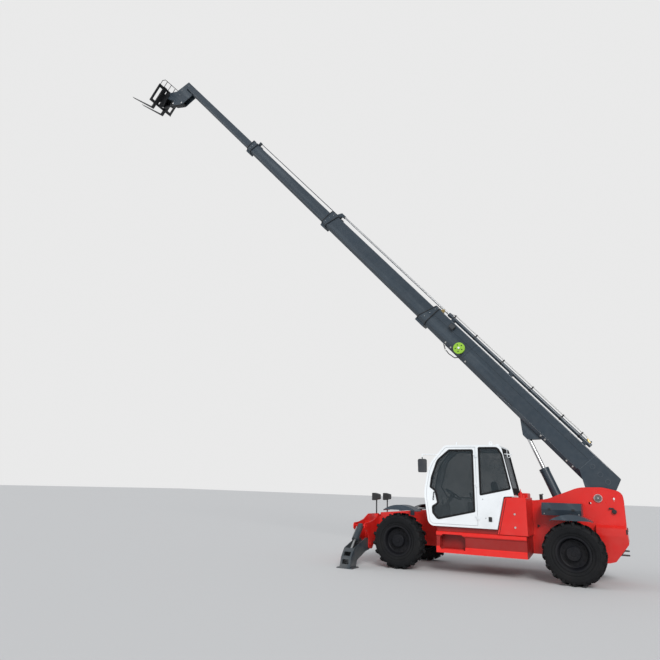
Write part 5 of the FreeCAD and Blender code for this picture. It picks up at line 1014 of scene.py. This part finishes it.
doublers, beads, highlight_marks, studs = [], [], [], []
for side in BOTH_SIDES:
    out = side * LEFT
    doublers += [doubler(*sizes, side) for sizes in DOUBLERS]
    beads += [side_bar(ends, -0.0005, 0.0045, side) for ends in BEADS]
    # A thin bar of paler slate along the cheek's front edge: a painted highlight line.
    highlight_marks.append(side_bar(CHEEK_EDGE_HIGHLIGHT, 0.006, 0.010, side))
    for s, n in CHEEK_COVERS:
        highlight_marks.append(washer(boom_point(s, side * CHEEK_FACE, n), out, *COVER_RIM, 28))
    stud_axis = on_facet(0.0, 0.0, 1.0, side)[0] - on_facet(0.0, 0.0, 0.0, side)[0]
    for spots, lift in ((STUDS_ON_PLATE, DOUBLERS[0][4] - SUNK), (STUDS_ON_TUBE, -SUNK)):
        for s in spots:
            studs += bolt(on_facet(s, STUD_ALONG, lift, side)[0], stud_axis, STUD_SIZE)
    ear = boom_point(EAR_S, side * EAR_FACE, EAR_N)
    highlight_marks.append(turned(EAR_RING, ear, out, 32, ring=True))
    studs.append(disc(ear, out, radius=0.026, height=0.007, edge=0.002))
fitting("boom_doublers", doublers, SLATE_PAINTED_HIGHLIGHT, "boom_1", bevel=0.003)
fitting("boom_welds", beads, WELD, "boom_1")
fitting("boom_root_highlights", highlight_marks, SLATE_PAINTED_HIGHLIGHT, "boom_1")
fitting("boom_studs", studs, STEEL, "boom_1")
print("beads:", len(beads), "stud parts:", len(studs))

# %% [markdown]
# A long cylinder on top of the boom pushes out the second tube. Its oil comes through a rigid steel pipe
# clamped above it, with a brass union at the root. A small flood lamp, a green reel's hub and a bent
# pipe under the reel are fixed to the base tube's left side.

# %% Pipes and small things on the base tube
CYLINDER_N, CYLINDER_RADIUS = 0.690, 0.046
FEED_N = CYLINDER_N + 0.092
FEED_LINE = [
    (0.955, 0, FEED_N - 0.03), (1.060, 0, FEED_N), (5.300, 0, FEED_N), (5.390, 0, CYLINDER_N + 0.050),
]
CLAMPS = (1.164, 1.704, 2.620, 3.560, 4.500, 5.280)
# Inner and outer radius, and the two ends along the cylinder
CLAMP_BAND = (CYLINDER_RADIUS - 0.0005, CYLINDER_RADIUS + 0.007, -0.018, 0.018)
LAMP_S, LAMP_N = 5.050, 0.512
# Columns of the lamp's parts: half length, inner and outer face, half height
LAMP_CASE, LAMP_STEM = (0.080, 0.230, 0.275, 0.060), (0.018, 0.1995, 0.232, 0.018)
LAMP_PANE = (0.068, 0.274, 0.280, 0.048)
REEL_S, REEL_N, REEL_FACE = 4.515, 0.240, reach_in_y("hose_reel")[1]
REEL_HOLES, FIRST_HOLE, HOLE_RING, HOLE_DEPTH = 5, math.radians(20), 0.088, 0.0145
REEL_PIPE = [
    (4.930, 0.120, 0.040), (4.800, 0.150, -0.020), (4.620, 0.205, -0.040), (4.420, 0.232, -0.010),
    (4.335, 0.232, 0.090), (4.390, 0.232, 0.160),
]
REEL_PIPE_NUT, END_NUT_BACK = (4.735, 0.165, -0.032), 0.02


def lamp_part(half_length, inner, outer, half_height):
    """A block centred on the boom's lamp, between two distances out from the boom's middle."""
    low = (LAMP_S - half_length, inner, LAMP_N - half_height)
    return boom_block(low, (LAMP_S + half_length, outer, LAMP_N + half_height))


clamps = []
for s in CLAMPS:
    clamps.append(washer(boom_point(s, 0, CYLINDER_N), ALONG, *CLAMP_BAND, 24))
    clamps.append(boom_block((s - 0.014, -0.020, CYLINDER_N + 0.047), (s + 0.014, 0.020, FEED_N + 0.018)))
fitting("feed_pipe", [pipe(on_boom(FEED_LINE), 0.0115, bend=0.035)], STEEL, "boom_1")
fitting("pipe_clamps", clamps, BLACK_PAINT, "boom_1", bevel=0.002)
unions = [
    nut(boom_point(0.905, 0, FEED_N - 0.052), ALONG, 0.026, 0.075, 0.004),
    nut(boom_point(0.960, 0, FEED_N - 0.030), ALONG, 0.019, 0.050, 0.003),
    boom_block((5.560, 0.060, 0.612), (5.640, 0.120, 0.680)),
    nut(boom_point(5.600, 0.090, 0.680), UPWARD, 0.014, 0.030),
]
fitting("pipe_unions", unions, BRASS, "boom_1", bevel=0.0015)
lamp_body = [lamp_part(*LAMP_CASE), lamp_part(*LAMP_STEM)]
fitting("boom_lamp", lamp_body, LAMP_BODY, "boom_1", bevel=0.006)
fitting("boom_lamp_lens", [lamp_part(*LAMP_PANE)], SMOKED_LENS, "boom_1", bevel=0.002)

reel_hub = disc(boom_point(REEL_S, REEL_FACE - SUNK, REEL_N), LEFT, 0.028, 0.012, edge=0.003)
fitting("reel_hub", [reel_hub], WHITE, "boom_1")
reel_holes = []
for turn in FIRST_HOLE + np.arange(REEL_HOLES) * 2 * np.pi / REEL_HOLES:
    s, n = REEL_S + HOLE_RING * math.cos(turn), REEL_N + HOLE_RING * math.sin(turn)
    reel_holes.append(disc(boom_point(s, REEL_FACE - HOLE_DEPTH, n), LEFT, 0.017, 0.004, 0.001, sides=16))
fitting("reel_holes", reel_holes, BLACK_PAINT, "boom_1")
fitting("reel_pipe", [pipe(on_boom(REEL_PIPE), 0.012, bend=0.050)], BLACK_PAINT, "boom_1")
pipe_nuts = [
    nut(boom_point(*REEL_PIPE[0]) - END_NUT_BACK * ALONG, -ALONG, 0.018, 0.045),
    nut(boom_point(*REEL_PIPE_NUT), ALONG, 0.019, 0.040),
]
fitting("reel_pipe_nuts", pipe_nuts, STEEL, "boom_1")
print("clamps:", len(CLAMPS), "reel holes:", len(reel_holes))

# %% [markdown]
# The boom pin is locked by a small plate and bolt so that it can't turn, and a raised ring goes round
# it. A dark marker lamp stands on the tower's side, and bolts hold the covers and the tool box.

# %% Tower, covers and tool box
BOSS_FACE, PIN_FACE = reach_in_y("chassis_frame")[1], reach_in_y("pivot_pins")[1]
TOWER_FACE, LIFT_PIN_FACE = BOSS_FACE - 0.022, 0.298
PIN_RING = [(0.064, -0.004), (0.070, 0.004), (0.082, 0.004), (0.084, -0.004)]
LOCK_START, LOCK_END, LOCK_HALF, LOCK_THICK = 0.060, 0.086, 0.014, 0.012
COVER_FACE = reach_in_y("tank_cover")[1]
COVER_BOLTS = [(-0.760, 1.283), (-0.758, 1.020)]
SEAM = [(-0.4315, COVER_FACE + 0.001, 0.872), (-0.606, COVER_FACE + 0.001, 1.596)]
BOX_BOLT_X, BOX_LATCH_X = (-1.960, -1.290), (-1.860, -1.400)

pin_locks = []
for side in BOTH_SIDES:
    out = side * LEFT
    pin_locks += bolt(BOOM_PIVOT + PIN_FACE * out, out, 0.014)
    pin_locks.append(turned(PIN_RING, BOOM_PIVOT + BOSS_FACE * out, out, 36, ring=True))
    low = BOOM_PIVOT + (LOCK_START, side * BOSS_FACE - 0.0005, -LOCK_HALF)
    high = BOOM_PIVOT + (LOCK_END, side * (BOSS_FACE + LOCK_THICK), LOCK_HALF)
    pin_locks.append(block(low, high))
    pin_locks += bolt(hinge_place("lift_barrel_swing") + LIFT_PIN_FACE * out, out, 0.012)
fitting("pin_locks", pin_locks, STEEL, "root", bevel=0.001)
marker = [
    disc((-2.606, TOWER_FACE - SUNK, 1.402), LEFT, 0.046, 0.050, edge=0.008),
    block((-2.600, TOWER_FACE - SUNK, 1.446), (-2.512, TOWER_FACE + 0.022, 1.474)),
    disc((-2.530, TOWER_FACE + 0.020, 1.460), LEFT, 0.020, 0.020, edge=0.003),
    disc((-1.100, TOWER_FACE - SUNK, 1.040), LEFT, 0.040, 0.018, edge=0.002, sides=3),
]
fitting("tower_marker", marker, LAMP_BODY, "root", bevel=0.002)

cover_bolts = [disc((x, COVER_FACE - SUNK, z), LEFT, 0.021, 0.010, edge=0.003) for x, z in COVER_BOLTS]
cover_bolts += [nut((x, 0.716, 1.320), (0, 0.94, -0.34), 0.011, 0.020) for x in BOX_BOLT_X]
fitting("cover_bolts", cover_bolts, STEEL, "root")
fitting("cover_seam", [pipe(SEAM, 0.004, sides=8)], SEAL, "root")
box_latches = [block((x - 0.030, 0.726, 1.385), (x + 0.030, 0.752, 1.425)) for x in BOX_LATCH_X]
fitting("box_latches", box_latches, LAMP_BODY, "root", bevel=0.003)
print("tower parts:", len(pin_locks) + len(marker))

# %% [markdown]
# Wheel nuts sit in a ring on each rim's dish, and a smaller ring of bolts closes the hub. Raised rings
# run round the tyre's flanks. They are turned about the wheel's own axle, so they go round with it.

# %% Wheel nuts, hub bolts and tyre rings
HUB_FACE, FLANK = 0.150, 0.197
# Columns: how many, radius of the ring, face that they stand on, half width
NUT_RINGS = [(12, 0.205, 0.060, 0.015), (8, 0.095, HUB_FACE, 0.009)]
# Columns: radius of the raised ring, how deep its foot is sunk
TYRE_RINGS = [(0.395, -0.010), (0.448, -0.002), (0.482, -0.002)]
RING_FOOT, RING_TOP, RING_HEIGHT = 0.006, 0.002, 0.0035

for wheel in WHEELS:
    middle = hinge_place("wheel_" + wheel)
    out = np.sign(middle[1]) * LEFT
    nuts = [disc(middle + (HUB_FACE - SUNK) * out, out, 0.045, 0.012, edge=0.004)]
    for count, radius, face, size in NUT_RINGS:
        for turn in np.arange(count) * 2 * np.pi / count:
            spoke = radius * np.array([math.cos(turn), 0, math.sin(turn)])
            nuts.append(nut(middle + spoke + (face - SUNK) * out, out, size, size * 1.3, size * 0.15))
    fitting("wheel_nuts_" + wheel, nuts, RIM_BLACK, "wheel_" + wheel)
    rings = []
    for radius, foot in TYRE_RINGS:
        section = [(-RING_FOOT, foot), (-RING_TOP, RING_HEIGHT), (RING_TOP, RING_HEIGHT), (RING_FOOT, foot)]
        for flank in (out, -out):
            rings.append(turned(np.add(section, (radius, 0)), middle + FLANK * flank, flank, 60, ring=True))
    fitting("tyre_rings_" + wheel, rings, TYRE, "wheel_" + wheel)
print("wheels dressed:", len(WHEELS))

# %% [markdown]
# Each stabiliser cylinder has a bright steel pipe beside its barrel, which brings oil to the far end.
# The step pocket has a ribbed tread, so that a muddy boot doesn't slip.

# %% Stabiliser pipes and step tread
# Columns of the pipe's line: distance from the barrel's eye, share of its full offset from the barrel
RAM_PIPE_LINE = [(0.030, 0.6), (0.070, 1.0), (0.330, 1.0), (0.362, 0.7)]
TREAD_LOW, TREAD_RIBS, TREAD_Y = 0.4895, 9, (0.910, 1.085)

for name, side in zip(("left", "right"), BOTH_SIDES):
    eye, line = hinge_place("ram_swing_" + name), np.array(JOINTS["ram_slide_" + name]["axis"])
    beside = np.array([0.082, side * 0.010, 0.008])
    ram_pipe = pipe([eye + run * line + share * beside for run, share in RAM_PIPE_LINE], 0.010, bend=0.020)
    union = nut(eye + 0.062 * line + 0.72 * beside, (1, 0, 0), 0.017, 0.030)
    fitting("ram_pipe_" + name, [ram_pipe, union], STEEL, "ram_barrel_" + name)
tread = [block((0.350, 0.895, TREAD_LOW), (0.815, 1.098, TREAD_LOW + 0.003))]
for y in np.linspace(*TREAD_Y, TREAD_RIBS):
    tread.append(block((0.356, y - 0.004, TREAD_LOW + 0.002), (0.809, y + 0.004, TREAD_LOW + 0.007)))
fitting("step_tread", tread, RED, "root")
print("tread ribs:", TREAD_RIBS)

# %% [markdown]
# The engine side is plain sheet: two latches and a lifting handle on the hood, a dark screen behind the
# cooling slots, and a rain cap on the exhaust. The cab's back carries a short lamp bracket.

# %% Engine side and rear bracket
BAY_FACE = reach_in_y("engine_hood")[0]
HANDLE = [(0.120, 0.002), (0.120, -0.045), (0.320, -0.045), (0.320, 0.002)]
HANDLE_Z = 1.300

hood_parts = [pipe([(x, BAY_FACE + out, HANDLE_Z) for x, out in HANDLE], 0.009, bend=0.015)]
for x in (-0.900, 0.560):
    hood_parts.append(block((x - 0.028, BAY_FACE - 0.014, 1.205), (x + 0.028, BAY_FACE + SUNK, 1.270)))
fitting("hood_latches", hood_parts, LAMP_BODY, "hood", bevel=0.002)
screen = block((-0.845, BAY_FACE + 0.013, 1.225), (-0.230, BAY_FACE + 0.018, 1.385))
fitting("hood_screen", [screen], BLACK_PAINT, "hood")
reflectors = [disc((x, BAY_FACE + SUNK, 1.020), -LEFT, 0.030, 0.012, edge=0.004) for x in (-0.850, 0.620)]
fitting("side_reflectors", reflectors, AMBER_LENS, "root")
rain_cap = [
    disc((-1.070, -0.620, 1.701), (0.25, 0, 1), 0.046, 0.005, edge=0.001),
    block((-1.122, -0.630, 1.688), (-1.108, -0.610, 1.712)),
]
fitting("rain_cap", rain_cap, ENGINE_IRON, "root")
bracket = [
    pipe([(-0.575, 1.020, 2.520), (-0.760, 1.020, 2.505)], 0.010),
    pipe([(-0.655, 1.020, 2.460), (-0.655, 1.020, 2.635)], 0.006),
    washer((-0.690, 1.020, 2.475), LEFT, 0.026, 0.036, -0.006, 0.006, 24),
]
fitting("rear_bracket", bracket, WHITE, "root")
print("engine side dressed")

# %% [markdown]
# Behind the glass a driver would find a lever console on the right of the seat, a small display on the
# dashboard and a padded seat. Each pad is a closed surface, crowned on its face and drawn in at its
# corners, because foam under cloth swells most where nothing holds it down.

# %% Inside the cab
SEAT_Y, SEAT_LEAN, BACK_LEAN = 0.725, 0.04, 0.14 - math.pi / 2
PLAN_ROUNDNESS, SIDE_ROUNDNESS, TOP_ROUNDNESS = 0.32, 0.38, 0.75
CORNER_DRAW, CROWN = 0.10, 0.16
PAD_SIDES, PAD_LEVELS = 26, 15
KNOB = [(0.0, -0.038), (0.020, -0.032), (0.027, 0.0), (0.020, 0.026), (0.0, 0.034)]


def softened(value, power):
    """A power of a value's size, with the value's sign."""
    return np.sign(value) * np.abs(value) ** power


def cushion(centre, half, lean):
    """A pad: a box with rounded plan, crowned on its face, drawn in at its corners, leaned about Y."""
    turn = np.linspace(0, 2 * np.pi, PAD_SIDES, endpoint=False)
    rise = np.linspace(-np.pi / 2, np.pi / 2, PAD_LEVELS)[:, None]
    reach = np.abs(np.cos(rise)) ** SIDE_ROUNDNESS
    across, along = (reach * softened(wave(turn), PLAN_ROUNDNESS) for wave in (np.cos, np.sin))
    drawn = 1.0 - CORNER_DRAW * across**4 * along**4
    crown = 1.0 - CROWN * (across**2 + along**2) / 2
    height = softened(np.sin(rise), TOP_ROUNDNESS) * crown
    x, y, z = np.stack([across * drawn, along * drawn, height]).reshape(3, -1) * np.array(half)[:, None]
    c, s = math.cos(lean), math.sin(lean)
    return np.stack([x * c + z * s, y, z * c - x * s], axis=1) + centre, grid_faces(PAD_LEVELS, PAD_SIDES)


console = [
    block((-0.180, 0.395, 1.006), (0.380, 0.485, 1.480)),
    pipe([(0.280, 0.440, 1.478), (0.315, 0.440, 1.640)], 0.010),
    turned(KNOB, (0.320, 0.440, 1.660), (0.2, 0, 1), 16),
]
fitting("console", console, PLASTIC, "root", bevel=0.006)
display = [
    block((0.800, 0.930, 1.430), (0.825, 1.020, 1.520)),
    pipe([(0.812, 0.975, 1.410), (0.812, 0.975, 1.435)], 0.012),
]
fitting("display", display, LAMP_BODY, "root", bevel=0.004)
seat_pads = [
    cushion((-0.080, SEAT_Y, 1.365), (0.245, 0.235, 0.060), SEAT_LEAN),
    cushion((-0.315, SEAT_Y, 1.690), (0.255, 0.215, 0.052), BACK_LEAN),
]
for side in BOTH_SIDES:
    seat_pads.append(cushion((0.010, SEAT_Y + side * 0.205, 1.395), (0.150, 0.030, 0.036), SEAT_LEAN))
seat = fitting("seat_pads", seat_pads, SEAT_CLOTH, "root")
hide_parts("driver_seat")
seat_shell = [
    block((-0.300, SEAT_Y - 0.180, 0.992), (0.100, SEAT_Y + 0.180, 1.300)),
    block((-0.325, SEAT_Y - 0.225, 1.290), (0.150, SEAT_Y + 0.225, 1.330)),
]
fitting("seat_shell", seat_shell, PLASTIC, "root", bevel=0.015)
print("seat pads:", len(seat_pads))

# %% [markdown]
# Bolt heads hold the boom's drop head together, and the tilt cylinder's pin shows a bright end on each
# side. From below they break up the dark plates of the head.

# %% Pins and bolts of the drop head
TILT_EYE, TILT_PIN_FACE = hinge_place("tilt_barrel_swing"), 0.1185
HEAD_FACE = 0.1085
HEAD_BOLTS = [(20.330, 0.300), (20.450, 0.300), (20.520, -0.020), (20.450, -0.200)]

head_pins = []
for side in BOTH_SIDES:
    out = side * LEFT
    head_pins.append(disc(TILT_EYE + TILT_PIN_FACE * out, out, 0.036, 0.010, edge=0.003))
    for s, n in HEAD_BOLTS:
        head_pins += bolt(boom_point(s, side * HEAD_FACE, n), out, 0.012)
fitting("head_pins", head_pins, STEEL, "boom_4")
print("head bolts:", 2 * len(HEAD_BOLTS))

# %% [markdown]
# The studio is a pale floor under a grey world, with two distant lights: a strong one from over the
# camera's right shoulder and a weak one from ahead of the machine. Distant lights shine evenly over a
# machine this tall, and their wide angle keeps the shadows soft. The backdrop is pale to the camera, and
# the world is dimmer in reflections, so that dark paint stays dark.

# %% Studio
FLOOR_HALF, FLOOR_SHADE, FLOOR_ROUGHNESS = 120.0, 0.52, 0.9
SKY = (0.93, 0.96, 1.0)
SKY_LIGHT, SKY_MIRRORED, BACKDROP = 0.66, 0.36, (0.82, 0.82, 0.82)
# Columns: name, where it stands, what it shines at, strength, width in degrees
LIGHTS = [
    ("key", (-14.0, 26.0, 24.0), (2.0, 0.0, 5.0), 2.45, 24.0),
    ("fill", (22.0, 12.0, 10.0), (2.0, 0.0, 4.0), 0.7, 40.0),
]


def make_floor():
    """One large matt square on the ground."""
    corners = [(x * FLOOR_HALF, y * FLOOR_HALF, 0) for x, y in ((-1, -1), (1, -1), (1, 1), (-1, 1))]
    mesh = bpy.data.meshes.new("floor")
    mesh.from_pydata(corners, [], [(0, 1, 2, 3)])
    looks = {"Base Color": (FLOOR_SHADE, FLOOR_SHADE, FLOOR_SHADE), "Roughness": FLOOR_ROUGHNESS}
    mesh.materials.append(new_recipe("floor_grey").finish(looks))
    floor = bpy.data.objects.new("floor", mesh)
    bpy.context.scene.collection.objects.link(floor)


def make_light(name, place, target, power, spread):
    """A distant light that shines from place towards target, as wide in the sky as a studio cloth."""
    data = bpy.data.lights.new(name, "SUN")
    data.energy = power
    data.angle = math.radians(spread)
    lamp = bpy.data.objects.new(name, data)
    lamp.location = place
    lamp.rotation_euler = (Vector(target) - Vector(place)).to_track_quat("-Z", "Y").to_euler()
    bpy.context.scene.collection.objects.link(lamp)


def make_world():
    """Grey light from all round, a dimmer grey in the reflections, and a pale backdrop for the camera."""
    world = bpy.data.worlds.new("studio")
    bpy.context.scene.world = world
    recipe = Recipe(world)
    light = recipe.node("Background", {"Color": SKY, "Strength": SKY_LIGHT})["Background"]
    mirrored = recipe.node("Background", {"Color": SKY, "Strength": SKY_MIRRORED})["Background"]
    backdrop = recipe.node("Background", {"Color": BACKDROP})["Background"]
    rays = recipe.node("LightPath", {})
    lit = recipe.node("MixShader", {0: rays["Is Glossy Ray"], 1: light, 2: mirrored})["Shader"]
    shown = recipe.node("MixShader", {0: rays["Is Camera Ray"], 1: lit, 2: backdrop})["Shader"]
    recipe.feed(recipe.nodes["World Output"].inputs["Surface"], shown)


make_floor()
make_world()
for light in LIGHTS:
    make_light(*light)
bpy.context.scene.view_settings.view_transform = "Standard"
print("lights:", len(LIGHTS))
